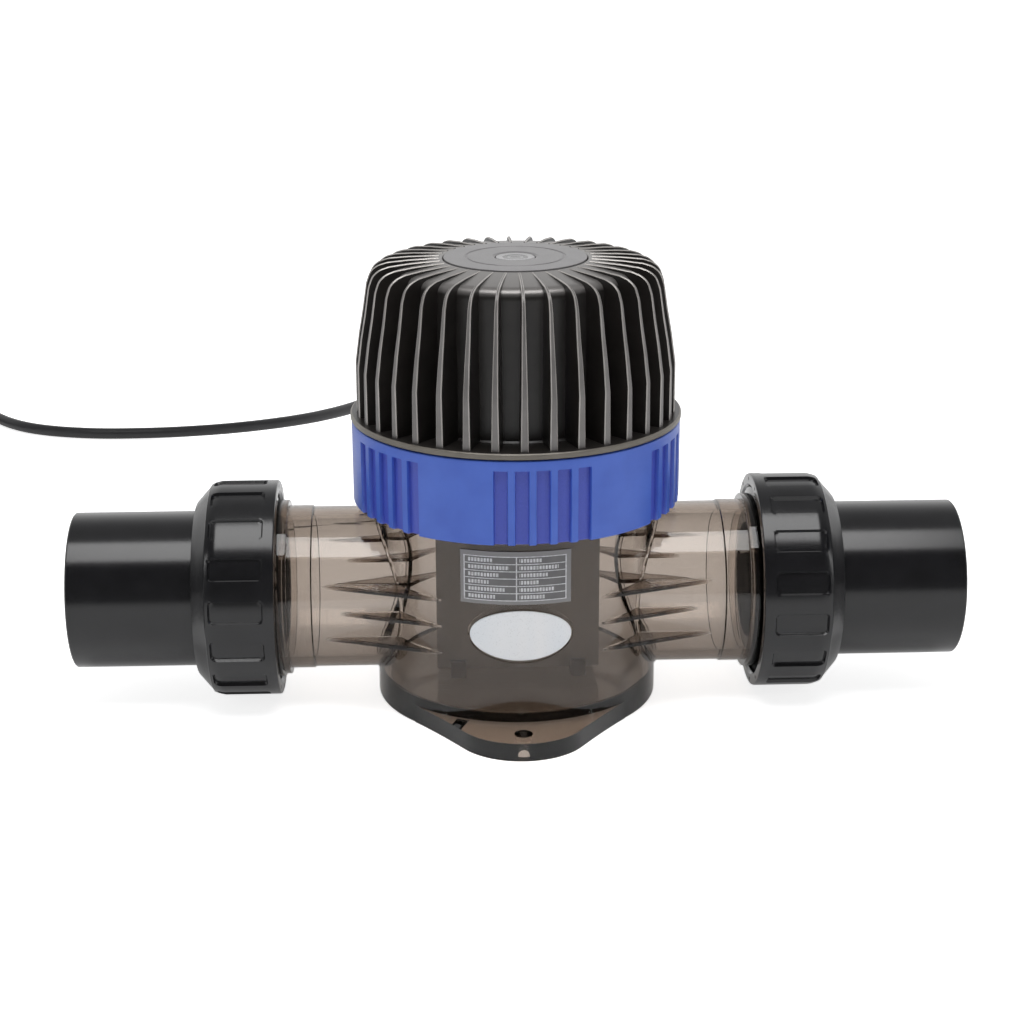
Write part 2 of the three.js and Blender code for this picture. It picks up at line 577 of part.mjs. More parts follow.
add('cable_gland', atGland(join(aboutX(disc(4.6, 47, 64), SMALL_ROUND), aboutX(disc(7.4, 59.3, 63), 6),
  aboutX(disc(6, 62.5, 70), SMALL_ROUND))), MATERIALS.blackGloss);
add('gland_nut', atGland(cut(aboutX([[0, 63.3], [7.4, 63.3], [7.4, 69], [6.2, 73], [0, 73]], 12),
  aboutX(disc(6.3, 63, 70.3), SMALL_ROUND))), MATERIALS.blackGloss);
add('strain_relief', atGland(aboutX([[0, 73.3], [5.4, 73.3], [5, 78], [3.7, 96.3], [0, 96.3]], SMALL_ROUND)),
  MATERIALS.rubber);
add('cable', tube(CABLE_ROUTE, 34), MATERIALS.cable);
const coil = aboutZ(ring(COIL_INNER_R, COIL_OUTER_R, COIL_BOTTOM, COIL_TOP), 24);
add('cable_coil', coil.translate(...COIL_CENTRE, 0), MATERIALS.cable);
add('coil_tie', coilTie(), MATERIALS.strap);
add('cable_tail', tube(TAIL_ROUTE, 4), MATERIALS.cable);
add('connector_body', alongTail(aboutX([[0, GAP], [4.4, GAP], [6.6, 8], [6.6, 18], [5, 18.3],
  [5, 34], [0, 34]], SMALL_ROUND)), MATERIALS.blackGloss);
add('connector_nut', alongTail(aboutX(ring(5.3, CONNECTOR_R, 18.6, 34.5), 20)), MATERIALS.blackGloss);

export default part;
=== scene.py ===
import math

import bmesh
import bpy
from mathutils import Matrix, Quaternion, Vector


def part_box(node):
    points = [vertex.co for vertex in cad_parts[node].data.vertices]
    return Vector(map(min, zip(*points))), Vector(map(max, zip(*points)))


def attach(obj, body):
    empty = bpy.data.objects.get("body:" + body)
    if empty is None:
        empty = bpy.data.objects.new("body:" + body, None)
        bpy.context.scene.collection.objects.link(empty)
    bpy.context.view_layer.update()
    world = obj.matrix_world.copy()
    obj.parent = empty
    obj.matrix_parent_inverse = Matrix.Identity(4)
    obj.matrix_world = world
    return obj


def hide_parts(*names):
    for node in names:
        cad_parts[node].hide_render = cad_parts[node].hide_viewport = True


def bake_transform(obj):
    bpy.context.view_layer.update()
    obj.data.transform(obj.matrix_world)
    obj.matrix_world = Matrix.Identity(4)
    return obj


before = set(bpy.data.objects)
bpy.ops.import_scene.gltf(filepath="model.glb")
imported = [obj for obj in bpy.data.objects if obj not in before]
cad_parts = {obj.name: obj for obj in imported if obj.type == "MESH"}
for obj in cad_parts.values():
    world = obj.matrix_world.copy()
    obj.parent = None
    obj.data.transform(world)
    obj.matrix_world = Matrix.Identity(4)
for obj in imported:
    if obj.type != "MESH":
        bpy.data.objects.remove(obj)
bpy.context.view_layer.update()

MM = 0.001


def box_mm(node):
    low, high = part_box(node)
    return low / MM, high / MM


# ---- Camera ----------------------------------------------------------------------------------
def add_camera():
    distance = 0.849902
    target = Vector((-0.001657, 0, 0.07494))
    azimuth, elevation, roll = map(math.radians, (-2.107, 18.257, -0.218))
    back = Vector((math.sin(azimuth) * math.cos(elevation),
                   -math.cos(azimuth) * math.cos(elevation),
                   math.sin(elevation)))
    camera = bpy.data.objects.new("camera", bpy.data.cameras.new("camera"))
    camera.data.sensor_width = 36
    camera.data.lens = 73.59
    camera.location = target + back * distance
    camera.rotation_mode = "QUATERNION"
    camera.rotation_quaternion = (-back).to_track_quat("-Z", "Y") @ Quaternion((0, 0, 1), roll)
    bpy.context.scene.collection.objects.link(camera)
    bpy.context.scene.camera = camera


add_camera()


# ---- Material nodes --------------------------------------------------------------------------
class Nodes:
    """A material's node tree, with short ways to add nodes and join them."""

    def __init__(self, name):
        self.material = bpy.data.materials.new(name)
        self.material.use_nodes = True
        self.tree = self.material.node_tree
        self.shader = self.tree.nodes["Principled BSDF"]
        self.output = self.tree.nodes["Material Output"]
        self.place = self.add("ShaderNodeTexCoord").outputs["Object"]

    def add(self, kind, **settings):
        node = self.tree.nodes.new(kind)
        for key, value in settings.items():
            setattr(node, key, value)
        return node

    def join(self, source, target):
        self.tree.links.new(source, target)

    def set(self, node, socket, value):
        """Sets a socket to a number, a colour or another node's output."""
        if isinstance(value, bpy.types.NodeSocket):
            self.join(value, node.inputs[socket])
        else:
            node.inputs[socket].default_value = value

    def noise(self, size_mm, detail=3.0, stretch=(1, 1, 1)):
        """Noise whose features are about size_mm across, drawn out along an axis by stretch."""
        mapping = self.add("ShaderNodeMapping")
        mapping.inputs["Scale"].default_value = [1 / s for s in stretch]
        self.join(self.place, mapping.inputs["Vector"])
        noise = self.add("ShaderNodeTexNoise")
        self.join(mapping.outputs["Vector"], noise.inputs["Vector"])
        noise.inputs["Scale"].default_value = 1 / (size_mm * MM)
        noise.inputs["Detail"].default_value = detail
        return noise.outputs["Fac"]

    def ranged(self, source, low, high, start=0.3, end=0.7, clamp=True):
        """The source from start to end, turned into low to high."""
        node = self.add("ShaderNodeMapRange", clamp=clamp)
        for socket, value in (("Value", source), ("From Min", start), ("From Max", end),
                              ("To Min", low), ("To Max", high)):
            self.set(node, socket, value)
        return node.outputs["Result"]

    def math(self, operation, a, b=0.0, c=0.0):
        node = self.add("ShaderNodeMath", operation=operation)
        for i, value in enumerate((a, b, c)):
            self.set(node, i, value)
        return node.outputs["Value"]

    def mix(self, share, a, b):
        """Colour a where share is 0 and b where it is 1."""
        node = self.add("ShaderNodeMix", data_type="RGBA")
        self.set(node, 0, share)
        self.set(node, 6, a)
        self.set(node, 7, b)
        return node.outputs[2]

    def bump(self, height, depth_mm, strength=1.0):
        node = self.add("ShaderNodeBump")
        node.inputs["Strength"].default_value = strength
        node.inputs["Distance"].default_value = depth_mm * MM
        self.join(height, node.inputs["Height"])
        self.join(node.outputs["Normal"], self.shader.inputs["Normal"])


def linear(red, green, blue):
    """A colour given as 0 to 255 screen values."""
    def channel(value):
        share = value / 255
        return share / 12.92 if share <= 0.04045 else ((share + 0.055) / 1.055) ** 2.4
    return (channel(red), channel(green), channel(blue), 1)


def scaled(colour, by):
    return tuple(c * by for c in colour[:3]) + (1,)


def moulded(name, colour, roughness, grain_mm=0.5, grain_depth=0.01, variation=0.15,
            metallic=0.0, stretch=(1, 1, 1), **uniform):
    """A surface with cloudy colour, uneven gloss and a fine grain. uniform sets shader sockets."""
    nodes = Nodes(name)
    clouds = nodes.noise(9, 4, stretch)
    grain = nodes.noise(grain_mm, 2, stretch)
    tone = nodes.mix(nodes.ranged(clouds, 0, 1), scaled(colour, 1 - variation),
                     scaled(colour, 1 + variation))
    nodes.join(tone, nodes.shader.inputs["Base Color"])
    nodes.join(nodes.ranged(grain, roughness * 0.88, roughness * 1.12),
               nodes.shader.inputs["Roughness"])
    nodes.shader.inputs["Metallic"].default_value = metallic
    for socket, value in uniform.items():
        nodes.shader.inputs[socket].default_value = value
    nodes.bump(grain, grain_depth)
    return nodes.material


def smoke_plastic(name, density):
    """Clear plastic with a brown-grey tint through its thickness. Lamps shine on through it."""
    nodes = Nodes(name)
    shader = nodes.shader
    flow = nodes.noise(26, 2, (3, 1, 1))
    shader.inputs["Base Color"].default_value = (1, 1, 1, 1)
    shader.inputs["Transmission Weight"].default_value = 1
    shader.inputs["IOR"].default_value = 1.5
    nodes.join(nodes.ranged(flow, 0.012, 0.03), shader.inputs["Roughness"])
    nodes.bump(flow, 0.05)
    lamp_path = nodes.add("ShaderNodeLightPath")
    passing = nodes.add("ShaderNodeBsdfTransparent")
    passing.inputs["Color"].default_value = (0.64, 0.59, 0.54, 1)
    mixed = nodes.add("ShaderNodeMixShader")
    nodes.join(lamp_path.outputs["Is Shadow Ray"], mixed.inputs[0])
    nodes.join(shader.outputs["BSDF"], mixed.inputs[1])
    nodes.join(passing.outputs["BSDF"], mixed.inputs[2])
    nodes.join(mixed.outputs["Shader"], nodes.output.inputs["Surface"])
    tint = nodes.add("ShaderNodeVolumeAbsorption")
    tint.inputs["Color"].default_value = (0.34, 0.22, 0.11, 1)
    tint.inputs["Density"].default_value = density
    nodes.join(tint.outputs["Volume"], nodes.output.inputs["Volume"])
    return nodes.material


def ring_blue():
    """Blue plastic, darker and more mauve on the floors of the grip grooves."""
    nodes = Nodes("ring_blue")
    clouds = nodes.noise(14, 4)
    grain = nodes.noise(0.35, 2)
    across = nodes.add("ShaderNodeSeparateXYZ")
    nodes.join(nodes.place, across.inputs["Vector"])
    radius = nodes.math("SQRT", nodes.math(
        "ADD", nodes.math("POWER", across.outputs["X"], 2.0),
        nodes.math("POWER", across.outputs["Y"], 2.0)))
    groove = nodes.ranged(radius, 1, 0, (RING_R - 1.3) * MM, (RING_R - 0.3) * MM)
    plain = nodes.mix(nodes.ranged(clouds, 0, 1), linear(63, 97, 194), linear(71, 107, 204))
    floor = nodes.mix(nodes.ranged(grain, 0, 1), linear(62, 80, 180), linear(71, 87, 190))
    nodes.join(nodes.mix(groove, plain, floor), nodes.shader.inputs["Base Color"])
    nodes.join(nodes.ranged(grain, 0.33, 0.41), nodes.shader.inputs["Roughness"])
    nodes.bump(grain, 0.006)
    return nodes.material


# The cap's painted shoulder highlight fades in between these heights
SHOULDER_LOW = 150  # the heights between which the cap's finish becomes the shoulder's
SHOULDER_HIGH = 164


def cast_black():
    """Black paint on a casting, with a painted highlight on the shoulder where it faces up: lighter and
    more metallic there.
    """
    nodes = Nodes("cast_black")
    facing = nodes.add("ShaderNodeSeparateXYZ")
    nodes.join(nodes.add("ShaderNodeTexCoord").outputs["Normal"], facing.inputs["Vector"])
    place = nodes.add("ShaderNodeSeparateXYZ")
    nodes.join(nodes.place, place.inputs["Vector"])
    on_shoulder = nodes.ranged(place.outputs["Z"], 0, 1, SHOULDER_LOW * MM, SHOULDER_HIGH * MM)
    upward = nodes.ranged(facing.outputs["Z"], 0, 1, 0.25, 0.65)
    # painted highlight: upward faces on the shoulder get a lighter, metallic colour
    shoulder_highlight = nodes.math("MULTIPLY", upward, on_shoulder)
    grain = nodes.noise(0.45, 2)
    paint = nodes.mix(nodes.ranged(nodes.noise(9, 4), 0, 1), linear(34, 31, 30), linear(42, 39, 37))
    nodes.join(nodes.mix(shoulder_highlight, paint, linear(124, 121, 119)), nodes.shader.inputs["Base Color"])
    nodes.join(nodes.ranged(shoulder_highlight, 0, 0.5, 0, 1), nodes.shader.inputs["Metallic"])
    nodes.join(nodes.ranged(grain, 0.3, 0.37), nodes.shader.inputs["Roughness"])
    nodes.bump(grain, 0.002)
    return nodes.material


def printed_label():
    """A grey plate with a white grid of rows and generic dashes in place of words."""
    nodes = Nodes("printed_label")
    low, high = box_mm("rating_label")
    across = nodes.add("ShaderNodeSeparateXYZ")
    nodes.join(nodes.place, across.inputs["Vector"])
    left, right, bottom, top = low.x + 1.5, high.x - 2, low.z + 1.7, high.z - 2.2
    x, z = across.outputs["X"], across.outputs["Z"]
    u = nodes.ranged(x, 0, 1, left * MM, right * MM, False)
    v = nodes.ranged(z, 0, LABEL_ROWS, bottom * MM, top * MM, False)
    row = nodes.math("FLOOR", v)
    up = nodes.math("FRACT", v)
    line = 0.06

    def near(value, place, width):
        return nodes.math("LESS_THAN", nodes.math("ABSOLUTE", nodes.math(
            "SUBTRACT", value, place)), width)

    def either(*values):
        total = values[0]
        for value in values[1:]:
            total = nodes.math("MAXIMUM", total, value)
        return total

    rules = either(nodes.math("LESS_THAN", up, line), nodes.math("GREATER_THAN", up, 1 - line),
                   near(u, 0, 0.006), near(u, 1, 0.006), near(u, LABEL_COLUMN, 0.006))
    reach = nodes.math("FRACT", nodes.math("MULTIPLY", nodes.math("ADD", row, 1.0), 0.381))
    dash = nodes.math("GREATER_THAN", nodes.math("FRACT", nodes.math("MULTIPLY", u, 33.0)), 0.28)
    words = 0.0
    for start, shortest, spread in ((0.03, 0.17, 0.26), (LABEL_COLUMN + 0.03, 0.15, 0.26)):
        end = nodes.math("ADD", nodes.math("MULTIPLY", reach, spread), start + shortest)
        inside = nodes.math("MULTIPLY", nodes.math("GREATER_THAN", u, start),
                            nodes.math("LESS_THAN", u, end))
        words = nodes.math("MAXIMUM", words, inside)
    words = nodes.math("MULTIPLY", nodes.math("MULTIPLY", words, dash), near(up, 0.5, 0.25))
    within = nodes.math("MULTIPLY", near(u, 0.5, 0.506), near(v, LABEL_ROWS / 2, LABEL_ROWS / 2 + line))
    ink = nodes.math("MULTIPLY", nodes.ranged(nodes.noise(1.2, 2), 0.55, 1), either(rules, words))
    ink = nodes.math("MULTIPLY", ink, within)
    plate = nodes.mix(nodes.ranged(nodes.noise(7), 0, 1), linear(98, 97, 99), linear(110, 109, 110))
    field = nodes.mix(within, linear(132, 131, 132), plate)
    nodes.join(nodes.mix(ink, field, linear(222, 223, 226)), nodes.shader.inputs["Base Color"])
    nodes.join(nodes.ranged(ink, 0.34, 0.5, 0, 1), nodes.shader.inputs["Roughness"])
    nodes.bump(ink, 0.02)
    return nodes.material


def lens_dark():
    """A dark glossy window with a pale rim and one faint printed ring."""
    nodes = Nodes("lens_dark")
    across = nodes.add("ShaderNodeSeparateXYZ")
    nodes.join(nodes.place, across.inputs["Vector"])
    radius = nodes.math("SQRT", nodes.math(
        "ADD", nodes.math("POWER", across.outputs["X"], 2.0),
        nodes.math("POWER", across.outputs["Y"], 2.0)))
    mark = nodes.math("LESS_THAN", nodes.math(
        "ABSOLUTE", nodes.math("SUBTRACT", radius, 2.7 * MM)), 0.5 * MM)
    rim = nodes.ranged(radius, 0, 1, 4.9 * MM, 5.3 * MM)
    pale = nodes.math("MAXIMUM", rim, nodes.math("MULTIPLY", mark, nodes.ranged(
        nodes.noise(0.8, 2), 0.3, 0.6)))
    dark = nodes.mix(nodes.noise(3), linear(66, 65, 66), linear(86, 85, 86))
    nodes.join(nodes.mix(pale, dark, linear(158, 157, 158)), nodes.shader.inputs["Base Color"])
    nodes.join(nodes.ranged(rim, 0.22, 0.34, 0, 1), nodes.shader.inputs["Roughness"])
    return nodes.material


def badge_silver():
    """Pearly silver film, faintly streaked across its width."""
    nodes = Nodes("badge_silver")
    sheen = nodes.noise(16, 2, (1, 1, 6))
    nodes.join(nodes.mix(nodes.ranged(sheen, 0, 1), linear(226, 232, 238), linear(238, 239, 241)),
               nodes.shader.inputs["Base Color"])
    fine = nodes.noise(0.6, 2)
    nodes.join(nodes.ranged(fine, 0.26, 0.34), nodes.shader.inputs["Roughness"])
    nodes.shader.inputs["Metallic"].default_value = 0.05
    nodes.shader.inputs["Coat Weight"].default_value = 0.5
    nodes.bump(fine, 0.001)
    return nodes.material


RING_R = 65.5
LABEL_ROWS = 6
LABEL_COLUMN = 0.51

SMOKE = smoke_plastic("smoke_plastic", 185)
# The ribs use the housing's plastic with a far denser tint: painted shade for the shade between the
# stacked ribs
RIB_SMOKE_SHADED = smoke_plastic("rib_smoke_painted_shade", 650)
BLUE = ring_blue()
LABEL = printed_label()
LENS = lens_dark()
SILVER = badge_silver()
GLOSS = moulded("black_gloss", linear(26, 26, 28), 0.19, 0.8, 0.004, 0.2)
CAST = cast_black()
# The fins' outer edge bands: worn paint with a painted highlight, lighter than the flanks and core of
# the same casting
EDGE = moulded("worn_edge_and_highlight", linear(118, 115, 114), 0.42, 0.5, 0.03, 0.12, 0.35)
# The chamfers along each fin edge: painted highlight, bright lines where the lamps would catch them
CORNER = moulded("painted_corner_highlight", linear(176, 172, 168), 0.4, 0.5, 0.02, 0.12, 0.35)
RIM = moulded("rim_satin", linear(112, 107, 99), 0.38, 0.5, 0.02, 0.1, 0.3)
DISC = moulded("disc_satin", linear(124, 122, 123), 0.38, 0.3, 0.01, 0.07, 0.1)
CARRIER = moulded("carrier_moulding", linear(40, 37, 35), 0.36, 0.6, 0.01)
COMB = moulded("comb_moulding", linear(88, 77, 69), 0.5, 0.6, 0.01)
RUBBER = moulded("seal_rubber", linear(22, 22, 22), 0.62, 0.4, 0.02)
TITANIUM = moulded("coated_titanium", linear(138, 131, 124), 0.5, 0.6, 0.003, 0.12, 0.3,
                   (1, 1, 8))
STEEL = moulded("screw_steel", linear(178, 180, 182), 0.27, 0.3, 0.004, 0.06, 1.0)
BRASS = moulded("plain_brass", linear(190, 152, 78), 0.3, 0.3, 0.004, 0.1, 1.0)
BOARD = moulded("board_green", linear(24, 84, 48), 0.34, 1.2, 0.01, 0.12)
COMPONENT = moulded("component_dark", linear(34, 36, 44), 0.38, 0.5, 0.006)
COPPER = moulded("enamel_copper", linear(172, 98, 52), 0.3, 0.7, 0.01, 0.15, 0.9)
WASHER = moulded("washer_white", linear(206, 207, 205), 0.5, 0.5, 0.006, 0.05)
SHEATH = moulded("cable_sheath", linear(34, 34, 36), 0.42, 0.5, 0.02, 0.15)
STRAP = moulded("hook_strap", linear(30, 30, 32), 0.85, 0.35, 0.12, 0.25,
                **{"Sheen Weight": 0.4, "Sheen Roughness": 0.5})


# ---- Mesh helpers ----------------------------------------------------------------------------
ABOUT_X = Matrix.Rotation(math.pi / 2, 4, "Y")
LEFT = Matrix.Rotation(math.pi, 4, "Z")
CREASE = math.radians(32)
ROUND = 192
SMALL_ROUND = 48


def placed(bm, *turns):
    """The mesh moved by each matrix in turn."""
    for turn in turns:
        bm.transform(turn)
    return bm


def at(x, y, z=0.0):
    return Matrix.Translation((x, y, z))


def mesh_object(name, bm, metres=True):
    """A shaded object from a mesh in millimetres, with its faces turned out."""
    bmesh.ops.recalc_face_normals(bm, faces=bm.faces)
    if metres:
        bm.transform(Matrix.Scale(MM, 4))
    for face in bm.faces:
        face.smooth = True
    for edge in bm.edges:
        edge.smooth = edge.calc_face_angle(0) < CREASE
    mesh = bpy.data.meshes.new(name)
    bm.to_mesh(mesh)
    bm.free()
    obj = bpy.data.objects.new(name, mesh)
    bpy.context.scene.collection.objects.link(obj)
    return obj


def piece(name, bm, body, material, replaced=()):
    """A finished piece that rides on a body and stands for CAD nodes."""
    obj = mesh_object(name, bm)
    for each in material if isinstance(material, (list, tuple)) else [material]:
        obj.data.materials.append(each)
    weighted = obj.modifiers.new("flat_faces", "WEIGHTED_NORMAL")
    weighted.keep_sharp = True
    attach(obj, body)
    names = [replaced] if isinstance(replaced, str) else list(replaced)
    if names:
        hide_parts(*names)
    return obj


def rounded(outline, radius, closed=True, steps=3):
    """The outline with each corner turned into a small arc, as large as its sides allow."""
    result = []
    count = len(outline)
    for i, point in enumerate(outline):
        corner = Vector(point)
        before = Vector(outline[i - 1]) - corner
        after = Vector(outline[(i + 1) % count]) - corner
        at_end = not closed and i in (0, count - 1)
        if at_end or min(before.length, after.length) < 1e-6 or before.angle(after) > 3.05:
            result.append(tuple(corner))
            continue
        back = min(radius / math.tan(before.angle(after) / 2),
                   0.45 * before.length, 0.45 * after.length)
        start = corner + before.normalized() * back
        end = corner + after.normalized() * back
        for step in range(steps + 1):
            t = step / steps
            arc = (1 - t) ** 2 * start + 2 * t * (1 - t) * corner + t ** 2 * end
            result.append(tuple(arc))
    return result


def revolved(profile, angles=ROUND, relief=None):
    """The profile of (radius, height) points turned about Z. A profile that starts on the axis
    ends on it, and any other closes on itself. relief(angle, radius, height) shapes the surface."""
    bm = bmesh.new()
    if isinstance(angles, int):
        angles = [2 * math.pi * i / angles for i in range(angles)]
    closed = profile[0][0] > 1e-9
    poles = {}
    columns = []
    for angle in angles:
        column = []
        for i, (radius, height) in enumerate(profile):
            if radius < 1e-9:
                if i not in poles:
                    poles[i] = bm.verts.new((0, 0, height))
                column.append(poles[i])
                continue
            if relief:
                radius, height = relief(angle, radius, height)
            column.append(bm.verts.new((radius * math.cos(angle), radius * math.sin(angle), height)))
        columns.append(column)
    spans = len(profile) if closed else len(profile) - 1
    for here, there in zip(columns, columns[1:] + columns[:1]):
        for i in range(spans):
            j = (i + 1) % len(profile)
            corners = dict.fromkeys((here[i], there[i], there[j], here[j]))
            bm.faces.new(list(corners))
    return bm


def turned(outline, fillet=0.3, angles=ROUND, relief=None):
    return revolved(rounded(outline, fillet, closed=outline[0][0] > 0), angles, relief)


def disc(radius, low, high):
    return [(0, low), (radius, low), (radius, high), (0, high)]


def ring(inner, outer, low, high):
    return [(inner, low), (outer, low), (outer, high), (inner, high)]


def prism(outline, low, high):
    """A flat outline raised from low to high along Z."""
    bm = bmesh.new()
    loops = [[bm.verts.new((x, y, z)) for x, y in outline] for z in (low, high)]
    bm.faces.new(loops[0])
    bm.faces.new(loops[1])
    for i in range(len(outline)):
        j = (i + 1) % len(outline)
        bm.faces.new((loops[0][i], loops[0][j], loops[1][j], loops[1][i]))
    return bm


def block(x, y, z, bevel=0.3):
    """A box between pairs of limits, with its edges rounded over."""
    bm = prism([(x[0], y[0]), (x[1], y[0]), (x[1], y[1]), (x[0], y[1])], *z)
    if bevel:
        bmesh.ops.bevel(bm, geom=list(bm.edges), offset=bevel, segments=2, affect="EDGES")
    return bm


def merged(*meshes):
    """Separate meshes as one, without joining their surfaces."""
    whole = bmesh.new()
    for bm in meshes:
        held = bpy.data.meshes.new("held")
        bm.to_mesh(held)
        bm.free()
        whole.from_mesh(held)
        bpy.data.meshes.remove(held)
    return whole


def combined(base, tools, operation):
    """The mesh of base joined with ("UNION") or cut by ("DIFFERENCE") every tool."""
    held = bpy.data.collections.new("tools")
    bpy.context.scene.collection.children.link(held)
    objects = []
    for bm in tools:
        tool = mesh_object("tool", bm, metres=False)
        bpy.context.scene.collection.objects.unlink(tool)
        held.objects.link(tool)
        objects.append(tool)
    whole = mesh_object("whole", base, metres=False)
    modifier = whole.modifiers.new("combine", "BOOLEAN")
    modifier.operation = operation
    modifier.operand_type = "COLLECTION"
    modifier.collection = held
    modifier.solver = "EXACT"
    graph = bpy.context.evaluated_depsgraph_get()
    result = bmesh.new()
    result.from_object(whole, graph)
    for obj in [*objects, whole]:
        mesh = obj.data
        bpy.data.objects.remove(obj)
        bpy.data.meshes.remove(mesh)
    bpy.data.collections.remove(held)
    bmesh.ops.remove_doubles(result, verts=result.verts, dist=0.002)
    return result


def thread_ridge(root, crest, root_width, crest_width, lead, turns, start, steps=96):
    """A right-handed helical ridge about Z that fades out at both ends."""
    bm = bmesh.new()
    last = round(turns * steps)
    fade = steps / 6
    rings = []
    for i in range(last + 1):
        angle = 2 * math.pi * i / steps
        middle = start + lead * i / steps
        height = min(1, 0.08 + i / fade, 0.08 + (last - i) / fade)
        top = root + (crest - root) * height
        section = ((-root_width / 2, root), (-crest_width / 2, top),
                   (crest_width / 2, top), (root_width / 2, root))
        rings.append([bm.verts.new((r * math.cos(angle), r * math.sin(angle), middle + along))
                      for along, r in section])
    for here, there in zip(rings, rings[1:]):
        for i in range(4):
            j = (i + 1) % 4
            bm.faces.new((here[i], here[j], there[j], there[i]))
    bm.faces.new(rings[0])
    bm.faces.new(rings[-1])
    return bm


def tube(line, radius, sides=16):
    """A round tube along a line, closed at both ends."""
    bm = bmesh.new()
    rings = []
    across = Vector((0, 0, 1))
    for i, point in enumerate(line):
        heading = (line[min(i + 1, len(line) - 1)] - line[max(i - 1, 0)]).normalized()
        side = heading.cross(across).normalized()
        across = side.cross(heading).normalized()
        rings.append([bm.verts.new(point + radius * (
            math.cos(2 * math.pi * k / sides) * side + math.sin(2 * math.pi * k / sides) * across))
            for k in range(sides)])
    for here, there in zip(rings, rings[1:]):
        for k in range(sides):
            j = (k + 1) % sides
            bm.faces.new((here[k], here[j], there[j], there[k]))
    bm.faces.new(rings[0])
    bm.faces.new(rings[-1])
    return bm


def smoothstep(value):
    t = min(max(value, 0.0), 1.0)
    return t * t * (3 - 2 * t)


# ---- The cord: lead, coil and connector --------------------------------------------------------
# The free route, listed in metres: out of the head, down to the table and off to the coil.
CABLE_ROUTE = [
    (-0.009, 0.0963, 0.126), (-0.0105, 0.113, 0.125), (-0.013, 0.132, 0.1213),
    (-0.0168, 0.154, 0.1143), (-0.025, 0.197, 0.0958), (-0.0363, 0.237, 0.075),
    (-0.0495, 0.27, 0.057), (-0.0644, 0.297, 0.0428), (-0.0806, 0.3185, 0.0316),
    (-0.098, 0.3353, 0.023), (-0.116, 0.348, 0.0166), (-0.1345, 0.3574, 0.0118),
    (-0.153, 0.364, 0.0083), (-0.172, 0.3684, 0.0059), (-0.1905, 0.3712, 0.0044),
    (-0.2085, 0.3732, 0.0036), (-0.2255, 0.375, 0.0032), (-0.2415, 0.3776, 0.0032),
    (-0.2565, 0.382, 0.0032), (-0.27, 0.3886, 0.0032), (-0.282, 0.398, 0.0032),
    (-0.293, 0.4105, 0.0033), (-0.3043, 0.4276, 0.0036),
]
TAIL_ROUTE = [
    (-0.3897, 0.3894, 0.0095), (-0.387, 0.382, 0.009), (-0.3842, 0.3743, 0.0084),
    (-0.3814, 0.3666, 0.0082),
]
CABLE_D = 0.0063
COIL_CENTRE = Vector((-0.3562, 0.4305, 0))
COIL_OUTER_TURN = 0.0454
COIL_START = math.radians(20)
COIL_TURNS = 5.5
LAYER_TURNS = 2.5
LAYER_RISE = 0.5  # turns spent climbing from the bottom layer to the top one
TURN_POINTS = 24
GLAND_TURN = math.radians(95.3)
GLAND_Z = 126


def coil_turns():
    """The wound part: in along the table, up a layer, and out again over the first turns."""
    bottom = 0.9 * MM + CABLE_D / 2
    points = []
    for i in range(1, round(COIL_TURNS * TURN_POINTS)):
        turn = i / TURN_POINTS
        inward = min(turn, LAYER_TURNS)
        outward = max(turn - LAYER_TURNS - LAYER_RISE, 0)
        radius = COIL_OUTER_TURN - 1.004 * CABLE_D * (inward - outward)
        climb = smoothstep((turn - LAYER_TURNS + 0.05) / (0.8 * LAYER_RISE))
        angle = COIL_START + 2 * math.pi * turn
        points.append(COIL_CENTRE + Vector((radius * math.cos(angle), radius * math.sin(angle),
                                            bottom + CABLE_D * climb)))
    return points


def smooth_line(points, step):
    """Points about a step apart along a smooth curve through the given ones."""
    line = []
    for i in range(len(points) - 1):
        a, b = points[i], points[i + 1]
        before = points[i - 1] if i else 2 * a - b
        after = points[i + 2] if i + 2 < len(points) else 2 * b - a
        count = max(1, round((b - a).length / step))
        for k in range(count):
            t = k / count
            line.append(0.5 * (2 * a + (b - before) * t
                               + (2 * before - 5 * a + 4 * b - after) * t * t
                               + (3 * a - before - 3 * b + after) * t ** 3))
    line.append(points[-1])
    return line


def at_gland(bm):
    """A shape drawn about Z, laid along the way that the cable leaves the head."""
    return placed(bm, ABOUT_X, Matrix.Rotation(GLAND_TURN, 4, "Z"), at(0, 0, GLAND_Z))


def along_tail(bm):
    """A shape drawn about Z, laid on the table along the cable's last stretch."""
    start, end = (Vector(p) for p in TAIL_ROUTE[-2:])
    heading = math.atan2(end.y - start.y, end.x - start.x)
    return placed(bm, ABOUT_X, Matrix.Rotation(heading, 4, "Z"), at(end.x / MM, end.y / MM, 8.2))


def connector():
    """A plug body with grip ribs, and its knurled coupling nut."""
    body = turned([(0, 0.3), (4.4, 0.3), (5, 2), (4.6, 3), (5.6, 5), (5.2, 6), (6.6, 8.4),
                   (6.6, 18), (5, 18.3), (5, 34), (4, 34), (4, 24), (0, 24)], 0.4, SMALL_ROUND)
    knurls = 24

    def knurled(angle, radius, height):
        if radius > 7.9 and 20.2 < height < 30.5:
            radius -= 0.35 * (0.5 - 0.5 * math.cos(knurls * angle))
        return radius, height

    sides = [2 * math.pi * i / (knurls * 8) for i in range(knurls * 8)]
    nut = revolved(rounded([(5.3, 18.6), (7.4, 18.6), (8.2, 19.6), (8.2, 20), (8.2, 20.4),
                            (8.2, 30.3), (8.2, 30.7), (8.2, 32), (7.6, 34.5), (5.3, 34.5)], 0.2),
                   sides, knurled)
    return (piece("lead_connector", along_tail(body), "base", GLOSS,
                  "connector_body"),
            piece("lead_connector_nut", along_tail(nut), "base", GLOSS,
                  "connector_nut"))


